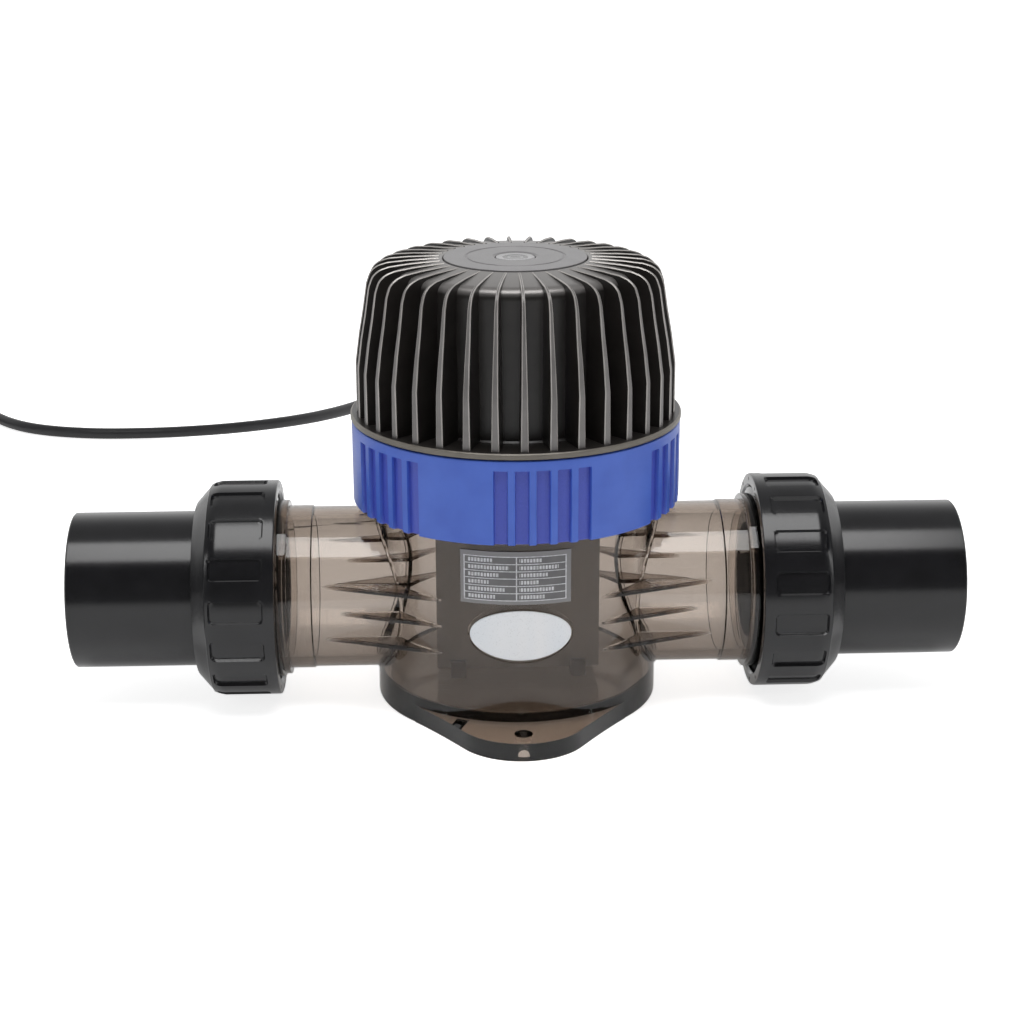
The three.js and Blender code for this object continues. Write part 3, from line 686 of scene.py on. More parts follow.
def coil_strap():
    """A hook-and-loop strap round the wound turns, as one closed band."""
    thickness, width = 0.6, 10
    inside, outside = 25.9 - 0.7, 49.3
    top = 14.1
    loop = rounded([(inside - thickness, 0), (outside + thickness, 0),
                    (outside + thickness, top + thickness), (inside - thickness, top + thickness)],
                   2.2, steps=5)
    hole = rounded([(inside, thickness), (outside, thickness), (outside, top), (inside, top)],
                   1.7, steps=5)
    bm = bmesh.new()
    loops = [[bm.verts.new((x, y, z)) for x, z in outline]
             for outline in (loop, hole) for y in (-width / 2, width / 2)]
    for a, b in ((0, 1), (3, 2), (2, 0), (1, 3)):
        for i in range(len(loop)):
            j = (i + 1) % len(loop)
            bm.faces.new((loops[a][i], loops[a][j], loops[b][j], loops[b][i]))
    turn = Matrix.Rotation(math.radians(-80), 4, "Z")
    placed(bm, turn, at(COIL_CENTRE.x / MM, COIL_CENTRE.y / MM))
    strap = piece("coil_strap", bm, "base", STRAP, "coil_tie")
    return strap


def strain_relief():
    """A tapered rubber sleeve with bend slots, in the gland's mouth."""
    outline = [(0, 73.3), (5.4, 73.3), (5.3, 75.5)]
    for start in (77, 80.4, 83.8, 87.2):
        outer = 5.3 - (start - 75.5) * 0.075
        outline += [(outer, start), (outer - 0.7, start + 0.5), (outer - 0.75, start + 1.5),
                    (outer - 0.15, start + 2)]
    outline += [(4.15, 92), (3.7, 96.3), (0, 96.3)]
    return piece("lead_strain_relief", at_gland(turned(outline, 0.3, SMALL_ROUND)), "head",
                 RUBBER, "strain_relief")


def hexagon(radius, low, high, chamfer=0.6):
    """A hexagonal body about Z with its corners chamfered at both ends."""
    sides = 72
    flat = radius * math.cos(math.pi / 6)

    def six_sided(angle, r, height):
        if r < flat * 0.9:
            return r, height
        edge = flat / math.cos((angle % (math.pi / 3)) - math.pi / 6)
        return min(edge, r + (radius - flat) * 0.9), height

    angles = [2 * math.pi * i / sides for i in range(sides)]
    profile = [(0, low), (flat - chamfer, low), (flat * 0.985, low + chamfer * 0.5),
               (radius, low + chamfer), (radius, high - chamfer), (flat * 0.985, high - chamfer * 0.5),
               (flat - chamfer, high), (0, high)]
    return revolved(profile, angles, six_sided)


def cable_gland():
    """The threaded stub with its hexagon, and the domed nut that grips the cable."""
    thread = thread_ridge(5.4, 6, 1.3, 0.4, 1.5, 4, 63.8, 48)
    stub = turned([(0, 47), (4.6, 47), (4.6, 62), (5.5, 62.5), (5.5, 70), (0, 70)], 0.2, SMALL_ROUND)
    body = combined(stub, [hexagon(7.4, 59.3, 63), thread], "UNION")
    nut = combined(turned([(0, 63.3), (7.1, 63.3), (7.1, 69), (6.2, 73), (0, 73)], 0.8, SMALL_ROUND),
                   [hexagon(7.4, 63.3, 69.5)], "UNION")
    nut = combined(nut, [revolved(disc(6.3, 62, 70.3), SMALL_ROUND)], "DIFFERENCE")
    return (piece("gland_stub", at_gland(body), "head", GLOSS, "cable_gland"),
            piece("gland_dome_nut", at_gland(nut), "head", GLOSS, "gland_nut"))


def lead():
    """The whole lead as one tube, from the strain relief to the connector."""
    points = [Vector(p) for p in CABLE_ROUTE] + coil_turns() + [Vector(p) for p in TAIL_ROUTE]
    line = smooth_line(points, 0.004)
    tube_mesh = tube([p / MM for p in line], CABLE_D / MM / 2)
    cable = mesh_object("lead_cable", tube_mesh)
    cable.data.materials.append(SHEATH)
    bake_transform(cable)
    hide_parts("cable", "cable_coil", "cable_tail")
    on_cord = [*connector(), coil_strap(), strain_relief(), *cable_gland()]


lead()


# ---- Housing ---------------------------------------------------------------------------------
TAIL_LOW, TAIL_HIGH = box_mm("tailpiece_right")
HALF_LENGTH = TAIL_HIGH.x
AXIS_Z = (TAIL_LOW.z + TAIL_HIGH.z) / 2
BODY_R = 57
CHAMBER_R = 53
PIPE_R = 32.7
COLLAR_END = 108.2
BADGE = (-0.5, 43.7, 19.6, 10.2)  # centre X and Z, half width and half height


def pipe_side(bm, turn=None):
    """A shape drawn about Z, laid along the right pipe, or the left one."""
    placed(bm, ABOUT_X, at(0, 0, AXIS_Z))
    return placed(bm, LEFT) if turn else bm


def foot_outline():
    """One ear of the foot: a round tip, with flanks that sweep in to the body."""
    tip_r, tip_y = 27.2, 77.4 - 27.2
    end = math.radians(33.7)
    joint = Vector((tip_r * math.cos(end), tip_y + tip_r * math.sin(end)))
    start, bend = Vector((42, 38.5)), Vector((33, 49.5))
    flank = [(1 - t) ** 2 * start + 2 * t * (1 - t) * bend + t * t * joint
             for t in (i / 16 for i in range(16))]
    tip = [Vector((tip_r * math.cos(a), tip_y + tip_r * math.sin(a)))
           for a in (end + (math.pi - 2 * end) * i / 40 for i in range(41))]
    return [*flank, *tip, *[Vector((-p.x, p.y)) for p in reversed(flank)]]


def foot(turn):
    """An ear of the foot with its upper edge rounded over."""
    height = 7.3
    bm = prism([tuple(p) for p in foot_outline()], 0, height)
    rims = [e for e in bm.edges if all(abs(v.co.z - height) < 1e-6 for v in e.verts)
            and any(v.co.y > 45 for v in e.verts)]
    bmesh.ops.bevel(bm, geom=rims, offset=1.1, segments=3, affect="EDGES")
    return placed(bm, Matrix.Rotation(turn, 4, "Z"))


def gussets():
    """Three flat ribs at each corner, fitted round the outside of the body and the pipes."""
    ribs = []
    for height, tip_x, tip_y in ((55.2, 78.4, 30.8), (44.4, 71.7, 32.5), (33.2, 77.2, 30.7)):
        for mirror_x in (-1, 1):
            for mirror_y in (-1, 1):
                outline = [(tip_x, tip_y), (30.3, 48.2), (30.3, 22), (tip_x, 22)]
                outline = [(x * mirror_x, y * mirror_y) for x, y in outline]
                bm = prism(outline, height - 0.9, height + 0.9)
                edges = [e for e in bm.edges
                         if all(min(abs(abs(v.co.y) - y) for y in (tip_y, 48.2)) < 1e-3
                                for v in e.verts) and abs(e.verts[0].co.z - e.verts[1].co.z) < 1e-6]
                bmesh.ops.bevel(bm, geom=edges, offset=0.45, segments=2, affect="EDGES")
                ribs.append(bm)
    cores = [revolved(disc(BODY_R + 0.1, 20, 70)),
             pipe_side(revolved(disc(PIPE_R + 0.1, -90, 90), 144))]
    return combined(merged(*ribs), cores, "DIFFERENCE")


def on_front(x, z, radius):
    """The point of a front-facing cylinder about Z that lies at x and z."""
    return Vector((x, -math.sqrt(radius * radius - x * x), z))


def wrapped(outline, centre, levels):
    """A plate wrapped round the front. levels are (scale, radius) from the centre of the back to
    the centre of the face, each a copy of the outline scaled about the centre."""
    bm = bmesh.new()
    first = bm.verts.new(on_front(*centre, levels[0][1]))
    last = bm.verts.new(on_front(*centre, levels[-1][1]))
    loops = []
    for scale, radius in levels[1:-1]:
        loops.append([bm.verts.new(on_front(centre[0] + (x - centre[0]) * scale,
                                            centre[1] + (z - centre[1]) * scale, radius))
                      for x, z in outline])
    count = len(outline)
    for i in range(count):
        j = (i + 1) % count
        bm.faces.new((first, loops[0][i], loops[0][j]))
        bm.faces.new((last, loops[-1][j], loops[-1][i]))
        for here, there in zip(loops, loops[1:]):
            bm.faces.new((here[i], there[i], there[j], here[j]))
    return bm


def ellipse(x, z, half_width, half_height, count=144):
    return [(x + half_width * math.cos(2 * math.pi * i / count),
             z + half_height * math.sin(2 * math.pi * i / count)) for i in range(count)]


def plate_levels(inner, outer, edge):
    """Levels of a plate of even thickness with a softened edge, edge being its share of the size."""
    spread = (0.3, 0.55, 0.75, 0.9)
    back = [(0, inner), *[(s, inner) for s in spread], (1 - edge * 0.3, inner)]
    face = [(1, inner + 0.1), (1, outer - 0.25), (1 - edge * 0.35, outer - 0.08), (1 - edge, outer)]
    return [*back, *face, *[(s, outer) for s in reversed(spread)], (0, outer)]


def junction_bead(side):
    """A thin bead where a pipe meets the body."""
    line = []
    for i in range(97):
        angle = 2 * math.pi * i / 96
        y = PIPE_R * math.sin(angle)
        line.append(Vector((math.sqrt(BODY_R ** 2 - y * y), y, AXIS_Z + PIPE_R * math.cos(angle))))
    return placed(tube(line, 0.9, 10), LEFT) if side else tube(line, 0.9, 10)


def housing():
    neck_r, shoulder_z, neck_top = 59.5, 81.5, 108
    body = turned([(0, 0), (BODY_R, 0), (BODY_R, shoulder_z), (neck_r, shoulder_z + 2.5),
                   (neck_r, neck_top), (0, neck_top)], 0.6)
    joins = [foot(0), foot(math.pi),
             thread_ridge(neck_r - 0.5, 61.2, 3.2, 1.8, 8, 1.6, 89)]
    for side in (0, 1):
        joins.append(pipe_side(turned([
            (0, 20), (PIPE_R, 20), (PIPE_R, 82), (PIPE_R + 0.5, 82.4), (PIPE_R + 0.5, 92),
            (35.5, 92), (35.5, COLLAR_END), (0, COLLAR_END)], 0.25, 144), side))
        joins.append(pipe_side(thread_ridge(35, 38, 3.4, 2, 6, 1.75, 95), side))
        joins.append(junction_bead(side))
    outside = combined(body, joins, "UNION")

    cuts = [turned([(0, 9.5), (CHAMBER_R, 9.5), (CHAMBER_R, 110), (0, 110)], 2.5),
            pipe_side(turned(disc(29, -COLLAR_END - 1, COLLAR_END + 1), 0, 144))]
    x, z, half_width, half_height = BADGE
    pocket = ellipse(x, z + 0.3, half_width + 0.7, half_height + 1.7)
    cuts.append(wrapped(pocket, (x, z + 0.3), [(0, 56.5), (0.5, 56.5), (0.985, 56.5), (1, 56.8),
                                               (1.02, 58), (0.5, 58), (0, 58)]))
    for side in (0, 1):
        cuts.append(pipe_side(turned(ring(30.6, 34, COLLAR_END - 2.9, COLLAR_END + 1), 0, 144), side))
        hole = turned([(0, -1), (3.25, -1), (3.25, 6.9), (3.9, 7.6), (3.9, 9), (0, 9)], 0.1, 48)
        cuts.append(placed(hole, at(0, 68 if side else -68)))
    return combined(outside, cuts, "DIFFERENCE")


def labels():
    piece("oval_sticker", wrapped(ellipse(*BADGE), BADGE[:2], plate_levels(57.3, 58, 0.03)),
          "base", SILVER, "oval_badge")
    low, high = box_mm("rating_label")
    corners = [(low.x, low.z), (high.x, low.z), (high.x, high.z), (low.x, high.z)]
    outline = []
    for i, (x0, z0) in enumerate(corners):
        x1, z1 = corners[(i + 1) % 4]
        outline += [(x0 + (x1 - x0) * k / 24, z0 + (z1 - z0) * k / 24) for k in range(24)]
    centre = ((low.x + high.x) / 2, (low.z + high.z) / 2)
    piece("grid_label", wrapped(outline, centre, plate_levels(57.3, 57.7, 0.012)),
          "base", LABEL, "rating_label")


piece("tee_housing", housing(), "base", SMOKE, "housing")
# The ribs carry the denser tint, which is painted shade
piece("gusset_ribs", gussets(), "base", RIB_SMOKE_SHADED, "housing")
labels()


# ---- Unions ----------------------------------------------------------------------------------
NUT_R = 43.65
NUT_PANELS = 16
PANEL_START, PANEL_END = 100.7, 121.6
PANEL_HALF_WIDTH = 4.4
PANEL_DEPTH = 1.2
PANEL_CORNER = 1.6
NUT_START = 96


def panel_depth(across, along):
    """How deep the recess is at a place across and along a panel, zero outside it."""
    middle = (PANEL_START + PANEL_END) / 2
    dx = abs(across) - (PANEL_HALF_WIDTH - PANEL_CORNER)
    dz = abs(along - middle) - ((PANEL_END - PANEL_START) / 2 - PANEL_CORNER)
    outside = math.hypot(max(dx, 0), max(dz, 0)) + min(max(dx, dz), 0) - PANEL_CORNER
    return PANEL_DEPTH * smoothstep(0.5 - outside / 0.5)


def steps_between(places, gap):
    """The places with more set evenly between them, no further apart than the gap."""
    result = []
    for a, b in zip(places, places[1:]):
        count = max(1, math.ceil((b - a) / gap))
        result += [a + (b - a) * i / count for i in range(count)]
    return [*result, places[-1]]


def union_nut(panel_turn):
    pitch = 2 * math.pi / NUT_PANELS
    edge = PANEL_HALF_WIDTH / NUT_R
    soft = 0.28 / NUT_R
    marks = [-pitch / 2, -edge - soft, -edge, -edge + soft, edge - soft, edge, edge + soft, pitch / 2]
    around = steps_between(marks, 0.0165)[:-1]
    angles = [panel_turn + pitch * i + a for i in range(NUT_PANELS) for a in around]
    along = steps_between([NUT_START + 0.8, PANEL_START - 0.3, PANEL_START, PANEL_START + 0.3,
                           PANEL_START + 2.2, PANEL_END - 2.2, PANEL_END - 0.3, PANEL_END,
                           PANEL_END + 0.3, 123], 0.8)

    def crown(height):
        return NUT_R if height < 118.5 else NUT_R - 0.105 * (height - 118.5) ** 1.6

    profile = [(38.6, 97), (39.3, NUT_START), (40.4, NUT_START), (42.9, NUT_START),
               (43.4, NUT_START + 0.2), *[(crown(h), h) for h in along],
               *rounded([(41.5, 123.6), (38.6, 126.2), (35.3, 129.1), (32.5, 129.3)], 0.6, False),
               (32.3, 129), (32.3, 113.5), (32.5, 113.3), (38.4, 113.3), (38.6, 113.1)]

    def relief(angle, radius, height):
        across = ((angle - panel_turn + pitch / 2) % pitch - pitch / 2) * NUT_R
        if radius > 39 and height > NUT_START + 0.5:
            radius -= panel_depth(across, height)
        return radius, height

    start = 95 + 6 / 2
    thread = thread_ridge(39.1, 36.3, 3.4, 2.2, 6, 1.6, start)
    holes = []
    for i in range(NUT_PANELS):
        angle = math.radians(9) + pitch * i
        hole = revolved([(0, NUT_START - 1), (0.85, NUT_START - 1), (0.7, NUT_START + 3),
                         (0, NUT_START + 3)], 16)
        holes.append(placed(hole, at(41.4 * math.cos(angle), 41.4 * math.sin(angle))))
    shell = combined(revolved(profile, angles, relief), [thread], "UNION")
    return combined(shell, holes, "DIFFERENCE")


def tailpiece():
    return turned([
        (23.5, 94), (28.4, 94), (28.4, 108.5), (35.6, 108.5), (35.6, 113), (31.5, 113),
        (31.5, HALF_LENGTH - 0.6), (30.9, HALF_LENGTH), (25.7, HALF_LENGTH),
        (25.1, HALF_LENGTH - 0.6), (25.1, HALF_LENGTH - 38), (23.5, HALF_LENGTH - 38)], 0.35, 144)


def union_seal():
    section = [(32.3 + 1.3 * math.cos(a), 106.8 + 1.3 * math.sin(a))
               for a in (2 * math.pi * i / 16 for i in range(16))]
    return revolved(section, 144)


for side, label in ((0, "right"), (1, "left")):
    piece(f"socket_tail_{label}", pipe_side(tailpiece(), side), f"tail_{label}",
          GLOSS, f"tailpiece_{label}")
    nut_turn = math.radians(6.6 if side else 5.2)
    piece(f"coupling_nut_{label}", pipe_side(union_nut(nut_turn), side), f"nut_{label}",
          GLOSS, f"union_nut_{label}")
    piece(f"union_o_ring_{label}", pipe_side(union_seal(), side), "base",
          RUBBER, f"union_seal_{label}")


# ---- Lock ring -------------------------------------------------------------------------------
RING_LOW, RING_HIGH = box_mm("lock_ring")
GRIP_GROUPS = 6
GROOVES = 5
GRIP_TURN = math.radians(-90 + 6.9)
GROOVE_PITCH = math.radians(7.1)
GROOVE_DEPTH = 1.6
GROOVE_TOP = 112


def lock_ring():
    wall = math.radians(2.25)
    soft = math.radians(0.16)
    marks = [-GROOVE_PITCH / 2, -wall - soft, -wall, -wall + soft, -wall + 3 * soft,
             wall - 3 * soft, wall - soft, wall, wall + soft, GROOVE_PITCH / 2]
    groove_angles = steps_between(marks, math.radians(0.9))[:-1]
    group_turn = 2 * math.pi / GRIP_GROUPS
    group_half = GROOVES * GROOVE_PITCH / 2
    land = steps_between([group_half, group_turn - group_half], math.radians(1.2))[:-1]
    angles = []
    centres = []
    for group in range(GRIP_GROUPS):
        middle = GRIP_TURN + group_turn * group
        for i in range(GROOVES):
            centre = middle + (i - (GROOVES - 1) / 2) * GROOVE_PITCH
            centres.append(centre)
            angles += [centre + a for a in groove_angles]
        angles += [middle + a for a in land]
    outer = [(RING_R, h) for h in steps_between(
        [RING_LOW.z + 0.5, GROOVE_TOP - 0.5, GROOVE_TOP - 0.25, GROOVE_TOP, GROOVE_TOP + 0.25,
         RING_HIGH.z - 0.9], 3)]
    profile = [(61.8, RING_LOW.z + 0.3), (62.1, RING_LOW.z), (65.1, RING_LOW.z), *outer,
               (65.4, RING_HIGH.z - 0.4), (65.1, RING_HIGH.z - 0.1), (64.7, RING_HIGH.z),
               (57.8, RING_HIGH.z), (57.5, RING_HIGH.z - 0.3), (57.5, 112.5), (57.8, 112.2),
               (61.5, 112.2), (61.8, 111.9)]

    def relief(angle, radius, height):
        if radius < 64 or height > GROOVE_TOP + 0.2:
            return radius, height
        off = min(abs((angle - c + math.pi) % (2 * math.pi) - math.pi) for c in centres)
        share = smoothstep(0.5 - (off - wall) / (2 * soft))
        share *= smoothstep((GROOVE_TOP + 0.2 - height) / 0.4)
        return radius - GROOVE_DEPTH * share, height

    return revolved(profile, angles, relief)


piece("grip_lock_ring", lock_ring(), "lock_ring", BLUE, "lock_ring")
piece("ring_slip_washer", turned(ring(57.9, 61.2, 111.3, 111.9), 0.1), "lock_ring",
      WASHER, "slip_washer")


# ---- Head: finned cap ------------------------------------------------------------------------
FIN_COUNT = 36
FIN_TURN = math.radians(-90 + 0.8)
FIN_FOOT_THICKNESS = 3.0
FIN_TOP_THICKNESS = 1.1
CAST_FACE, EDGE_FACE, CORNER_FACE, RIM_FACE = range(4)


def fin():
    """One fin along +X: a flat outer edge with chamfers, thinner towards the top."""
    outline = rounded([(63.3, 118.6), (63.3, 139), (61.7, 150.5), (60, 160), (58.4, 170.5),
                       (56.8, 175), (54, 177.3), (50, 178.5), (42, 179.3), (30, 179.9)],
                      9, closed=False, steps=5)
    inner = [(30, 177), (42, 172), (48, 160), (48, 118.6)]
    chamfer = 0.35

    def half(height):
        share = (height - 118.6) / (179.9 - 118.6)
        return (FIN_FOOT_THICKNESS + (FIN_TOP_THICKNESS - FIN_FOOT_THICKNESS) * share) / 2

    bm = bmesh.new()
    strips = [[], [], [], []]
    for i, (radius, height) in enumerate(outline):
        a, b = outline[max(i - 1, 0)], outline[min(i + 1, len(outline) - 1)]
        along = Vector((b[0] - a[0], b[1] - a[1])).normalized()
        inset = (radius - along.y * chamfer, height + along.x * chamfer)
        width = half(height)
        for strip, (r, z), y in zip(strips, (inset, (radius, height), (radius, height), inset),
                                    (width, width - chamfer, chamfer - width, -width)):
            strip.append(bm.verts.new((r, y, z)))
    backs = [[bm.verts.new((r, sign * half(z), z)) for r, z in inner] for sign in (1, -1)]
    # The chamfers take the painted corner highlight, and the flat edge band the worn paint with painted
    # highlight
    for one, other, finish in zip(strips, strips[1:], (CORNER_FACE, EDGE_FACE, CORNER_FACE)):
        for i in range(len(outline) - 1):
            bm.faces.new((one[i], one[i + 1], other[i + 1], other[i])).material_index = finish
    bm.faces.new([*strips[0], *backs[0]])
    bm.faces.new([*strips[3], *backs[1]])
    for i in range(len(inner) - 1):
        bm.faces.new((backs[0][i], backs[0][i + 1], backs[1][i + 1], backs[1][i]))
    bm.faces.new((*[s[-1] for s in strips], backs[1][0], backs[0][0]))
    bm.faces.new((*[s[0] for s in strips], backs[1][-1], backs[0][-1]))
    bmesh.ops.triangulate(bm, faces=[f for f in bm.faces if len(f.verts) > 4])
    return bm


def finned_cap():
    wall = [(46, 111.3), (57, 111.3), (57, 116.6), (65.5, 116.6), (65.9, 117), (65.9, 118.5),
            (65.4, 119), (51.6, 119), (50.9, 119.8), (50.4, 140), (49.9, 158)]
    shoulder = rounded([(49.9, 158), (49.3, 177), (40, 178.4), (29.4, 179.7)], 6.5, False, 9)[1:]
    inside = [(28.7, 179.6), (28.4, 179.2), (28.4, 176.6), (2.6, 176.6), (2.6, 168), (38, 168),
              (46, 158)]
    core = revolved([*rounded(wall, 0.4, False), *shoulder, *inside], 216)
    bmesh.ops.recalc_face_normals(core, faces=core.faces)
    for face in core.faces:
        middle = face.calc_center_median()
        if math.hypot(middle.x, middle.y) > 64.3 and middle.z > 116.5:
            face.material_index = RIM_FACE
    fins = [placed(fin(), Matrix.Rotation(FIN_TURN + 2 * math.pi * i / FIN_COUNT, 4, "Z"))
            for i in range(FIN_COUNT)]
    whole = combined(core, fins, "UNION")
    whole = combined(whole, [at_gland(revolved(disc(8.2, 59, 70), SMALL_ROUND))], "DIFFERENCE")
    whole = combined(whole, [at_gland(turned(disc(8, 47, 59), 0.4, SMALL_ROUND))], "UNION")
    return combined(whole, [at_gland(revolved(disc(4.9, 40, 60), SMALL_ROUND))], "DIFFERENCE")


piece("finned_cap", finned_cap(), "head", [CAST, EDGE, CORNER, RIM], "heat_sink_cap")
piece("crown_disc", turned([
    (5, 176.9), (28.1, 176.9), (28.1, 180.1), (20, 180.2), (19.6, 179.8), (19, 179.8), (18.6, 180.2),
    (9.2, 180.2), (8.6, 180), (8, 179.7), (8, 178.6), (5, 178.6)], 0.25), "head",
    DISC, "top_disc")
piece("crown_lens", turned([(0, 178.9), (7.7, 178.9), (7.7, 179.7), (7.2, 180), (5.2, 179.8),
                            (0, 179.7)], 0.3, 96), "head", LENS, "status_lens")


# ---- Head: turned inner pieces ------------------------------------------------------------------
def inner_round(name, outline, x, y, material, node, fillet=0.25, sides=SMALL_ROUND):
    piece(name, placed(turned(outline, fillet, sides), at(x, y)), "head", material, node)


def hex_nut(bore, corner, low, high):
    return combined(hexagon(corner, low, high, 0.45),
                    [revolved(disc(bore, low - 1, high + 1), SMALL_ROUND)], "DIFFERENCE")


def screw(x, y):
    """A pan-head screw seen from below, with a cross recess in its head."""
    shank = turned([(0, 108.5), (1.7, 108.4), (2.1, 108.9), (2.1, 109.5), (1, 109.5), (1, 115),
                    (0.5, 115.6), (0, 115.6)], 0.15, SMALL_ROUND)
    along, across = (-1.2, 1.2), (-0.22, 0.22)
    cross = [block(along, across, (108, 109), 0), block(across, along, (108, 109), 0)]
    return placed(combined(shank, cross, "DIFFERENCE"), at(x, y))


def electrode_carrier():
    plug = turned([(0, 84), (51.4, 84), (52.4, 85), (52.4, 98.6), (49.6, 98.6), (49.6, 102.2),
                   (52.4, 102.2), (52.4, 108.3), (60.8, 108.3), (60.8, 111), (45, 111), (45, 90),
                   (0, 90)], 0.4, 144)
    holes = [placed(revolved(disc(2.1, 83, 92), 32), at(x, 0)) for x in (-24, 24)]
    holes.append(placed(revolved(disc(4.3, 83, 92), 32), at(0, 30)))
    for x, y in SCREW_PLACES:
        holes.append(placed(revolved([(0, 107), (2.4, 107), (2.4, 109.8), (1.3, 109.8), (1.3, 112),
                                      (0, 112)], 32), at(x, y)))
    return combined(plug, holes, "DIFFERENCE")


SCREW_AT = 55
SCREW_PLACES = [(SCREW_AT * math.cos(math.radians(a)), SCREW_AT * math.sin(math.radians(a)))
                for a in (45, 135, 225, 315)]

piece("cell_carrier", electrode_carrier(), "head", CARRIER, "electrode_carrier")
piece("cell_carrier_seal", revolved([
    (51.45 + 1.25 * math.cos(a), 100.4 + 1.5 * math.sin(a))
    for a in (2 * math.pi * i / 16 for i in range(16))], 144), "head", RUBBER,
    "carrier_seal")
for number, (x, y) in enumerate(SCREW_PLACES, 1):
    piece(f"cell_screw_{number}", screw(x, y), "head", STEEL,
          f"carrier_screw_{number}")
for label, x in (("left", -24), ("right", 24)):
    inner_round(f"contact_rod_{label}", disc(1.8, 77.9, 119), x, 0, TITANIUM,
                f"terminal_rod_{label}")
    inner_round(f"contact_washer_{label}", ring(2.1, 4.6, 90.3, 91.5), x, 0,
                RUBBER, f"terminal_washer_{label}")
    piece(f"contact_nut_{label}", placed(hex_nut(2.1, 4, 91.8, 95), at(x, 0)), "head",
          BRASS, f"terminal_nut_{label}")
inner_round("flow_sensor", [(0, 34), (2.4, 34.4), (3.8, 36), (4.6, 38.5), (4.6, 52), (3.2, 54),
                            (3.2, 80), (6, 80.2), (6, 83.7), (4, 83.7), (4, 98), (0, 98)], 0, 30,
            COMPONENT, "water_sensor", 0.4)
piece("flow_sensor_nut", placed(hex_nut(4.3, 7, 90.3, 94), at(0, 30)), "head",
      BRASS, "sensor_nut")
inner_round("control_board", disc(41, 121, 122.6), 0, 0, BOARD,
            "controller_board", 0.15, 96)
for number, (x, y) in enumerate(((30, 22), (-30, 22), (-30, -22), (30, -22)), 1):
    piece(f"board_post_{number}", placed(hexagon(3, 90.3, 120.7), at(x, y)), "head",
          BRASS, f"board_standoff_{number}")
for label, y in (("left", 10), ("right", -10)):
    inner_round(f"can_capacitor_{label}", [
        (0, 122.9), (7.6, 122.9), (8, 123.6), (8, 125.4), (7.5, 126), (8, 126.6), (8, 147.4),
        (7.4, 148), (5.9, 148), (5.6, 147.7), (0, 147.7)], -20, y, COMPONENT,
        f"capacitor_{label}", 0.3)


def wound_choke():
    """A toroid whose surface follows the turns of its winding."""
    turns = 30
    section = [(9.5 + 4.3 * math.cos(a), 127.75 + 4.7 * math.sin(a))
               for a in (2 * math.pi * i / 20 for i in range(20))]

    def winding(angle, radius, height):
        out = 1 + 0.035 * math.cos(turns * angle)
        return 9.5 + (radius - 9.5) * out, 127.75 + (height - 127.75) * out

    return placed(revolved(section, turns * 8, winding), at(20, 6))


piece("wound_choke", wound_choke(), "head", COPPER, "choke")
inner_round("light_guide", disc(2.2, 122.9, 178.6), 0, 0, LENS, "light_pipe")

# The flat-sided inner nodes keep their CAD shapes, with softened edges and their own finishes.
FLAT_NODES = {
    TITANIUM: [f"electrode_plate_{i}" for i in range(1, 8)],
    COMB: ["lower_comb_left", "upper_comb_left", "lower_comb_right", "upper_comb_right"],
    COMPONENT: ["power_transistor"],
    WASHER: ["thermal_pad"],
    BOARD: ["terminal_block"],
}
for material, names in FLAT_NODES.items():
    for name in names:
        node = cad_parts[name]
        node.data.materials.clear()
        node.data.materials.append(material)
        bevel = node.modifiers.new("soft_edges", "BEVEL")
        bevel.width = 0.15 * MM
        bevel.segments = 2
        bevel.limit_method = "ANGLE"


# ---- Floor, world and lamps ------------------------------------------------------------------
def pale_floor():
    nodes = Nodes("pale_floor")
    tone = nodes.mix(nodes.noise(400, 2), (0.9, 0.9, 0.9, 1), (0.93, 0.93, 0.93, 1))
    nodes.join(tone, nodes.shader.inputs["Base Color"])
    nodes.shader.inputs["Roughness"].default_value = 0.8
    nodes.shader.inputs["Specular IOR Level"].default_value = 0.1
    nodes.shader.inputs["Emission Color"].default_value = (1, 1, 1, 1)
    seen = nodes.add("ShaderNodeLightPath").outputs["Is Camera Ray"]
    nodes.join(nodes.ranged(seen, 0.28, 0.8, 0, 1), nodes.shader.inputs["Emission Strength"])
    floor = mesh_object("floor", prism([
        (20000 * math.cos(2 * math.pi * i / 64), 20000 * math.sin(2 * math.pi * i / 64))
        for i in range(64)], -20, -0.3))
    floor.data.materials.append(nodes.material)


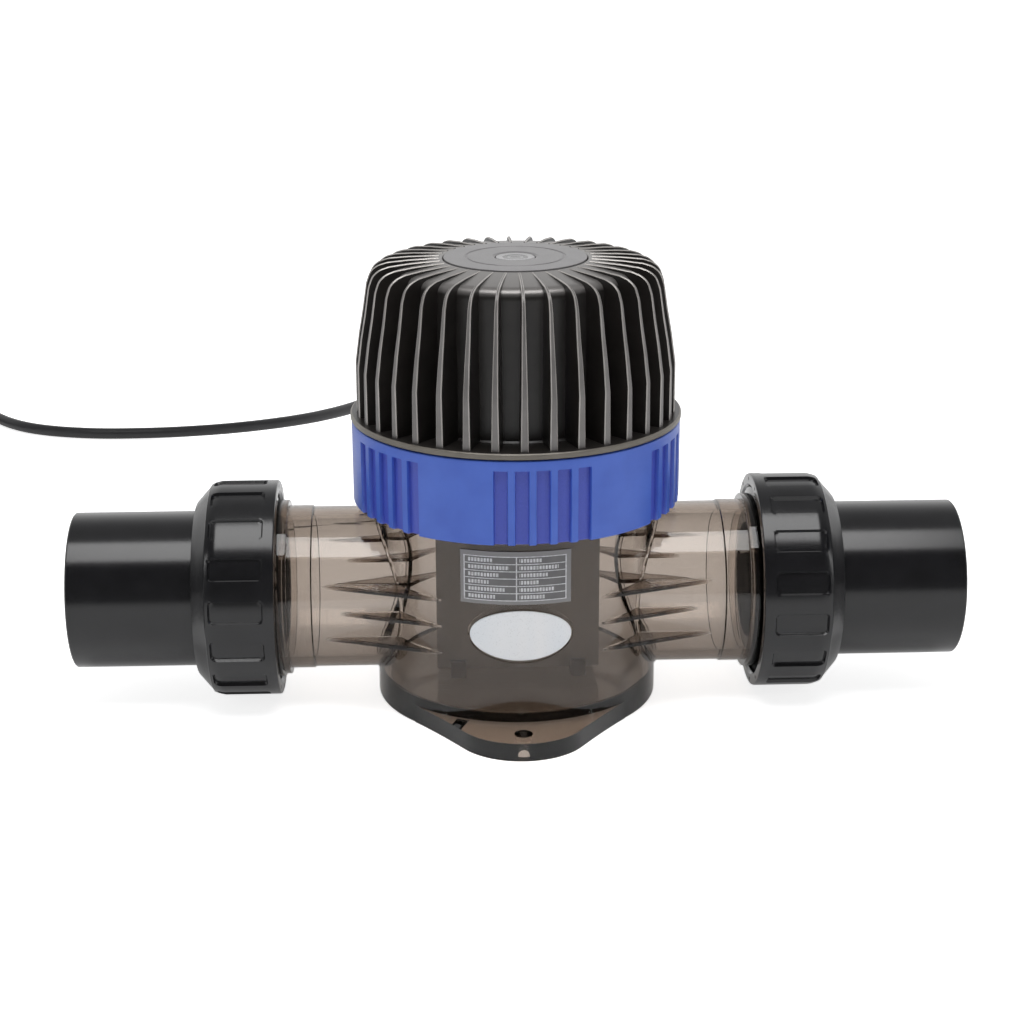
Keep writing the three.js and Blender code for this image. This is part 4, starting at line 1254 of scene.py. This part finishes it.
def studio_world():
    """White behind the object and dark in front of it, as in a studio. What is seen directly or
    through the clear housing is always white."""
    world = bpy.data.worlds.new("studio")
    world.use_nodes = True
    bpy.context.scene.world = world
    tree = world.node_tree
    light = tree.nodes["Background"]

    def add(kind, **settings):
        node = tree.nodes.new(kind)
        for key, value in settings.items():
            setattr(node, key, value)
        return node

    def ranged(source, *values):
        node = add("ShaderNodeMapRange", interpolation_type="SMOOTHSTEP")
        tree.links.new(source, node.inputs["Value"])
        for socket, value in zip(("From Min", "From Max", "To Min", "To Max"), values):
            node.inputs[socket].default_value = value
        return node.outputs["Result"]

    way = add("ShaderNodeSeparateXYZ")
    tree.links.new(add("ShaderNodeTexCoord").outputs["Generated"], way.inputs["Vector"])
    times = add("ShaderNodeMath", operation="MULTIPLY")
    tree.links.new(ranged(way.outputs["Y"], -0.35, 0.25, 0.1, 1.0), times.inputs[0])
    tree.links.new(ranged(way.outputs["Z"], 0.25, 0.85, 1.0, 0.35), times.inputs[1])
    path = add("ShaderNodeLightPath")
    direct = add("ShaderNodeMath", operation="MAXIMUM")
    tree.links.new(path.outputs["Is Camera Ray"], direct.inputs[0])
    tree.links.new(path.outputs["Is Transmission Ray"], direct.inputs[1])
    strength = add("ShaderNodeMix", data_type="FLOAT")
    tree.links.new(direct.outputs[0], strength.inputs[0])
    tree.links.new(times.outputs[0], strength.inputs[2])
    strength.inputs[3].default_value = 1.1
    tree.links.new(strength.outputs[0], light.inputs["Strength"])
    light.inputs["Color"].default_value = (1, 1, 1, 1)


def softbox(name, place, width, height, brightness):
    """A rectangular lamp facing the middle of the object."""
    lamp = bpy.data.lights.new(name, "AREA")
    lamp.shape = "RECTANGLE"
    lamp.size, lamp.size_y = width, height
    lamp.energy = brightness * math.pi * width * height
    obj = bpy.data.objects.new(name, lamp)
    aim = Vector((0, 0, 0.08))
    obj.location = place
    obj.rotation_euler = (aim - Vector(place)).to_track_quat("-Z", "Y").to_euler()
    bpy.context.scene.collection.objects.link(obj)


def from_centre(azimuth, elevation, distance):
    """A place in metres, azimuth degrees round from the front towards +X."""
    a, e = math.radians(azimuth), math.radians(elevation)
    return (distance * math.sin(a) * math.cos(e), -distance * math.cos(a) * math.cos(e),
            0.08 + distance * math.sin(e))


pale_floor()
studio_world()
softbox("top_softbox", from_centre(0, 76, 1.3), 1.0, 0.75, 5.2)
for name, azimuth in (("left_strip", -63), ("right_strip", 61)):
    softbox(name, from_centre(azimuth, 18, 1.5), 0.1, 1.1, 5.0)
bpy.context.scene.view_settings.view_transform = "Standard"
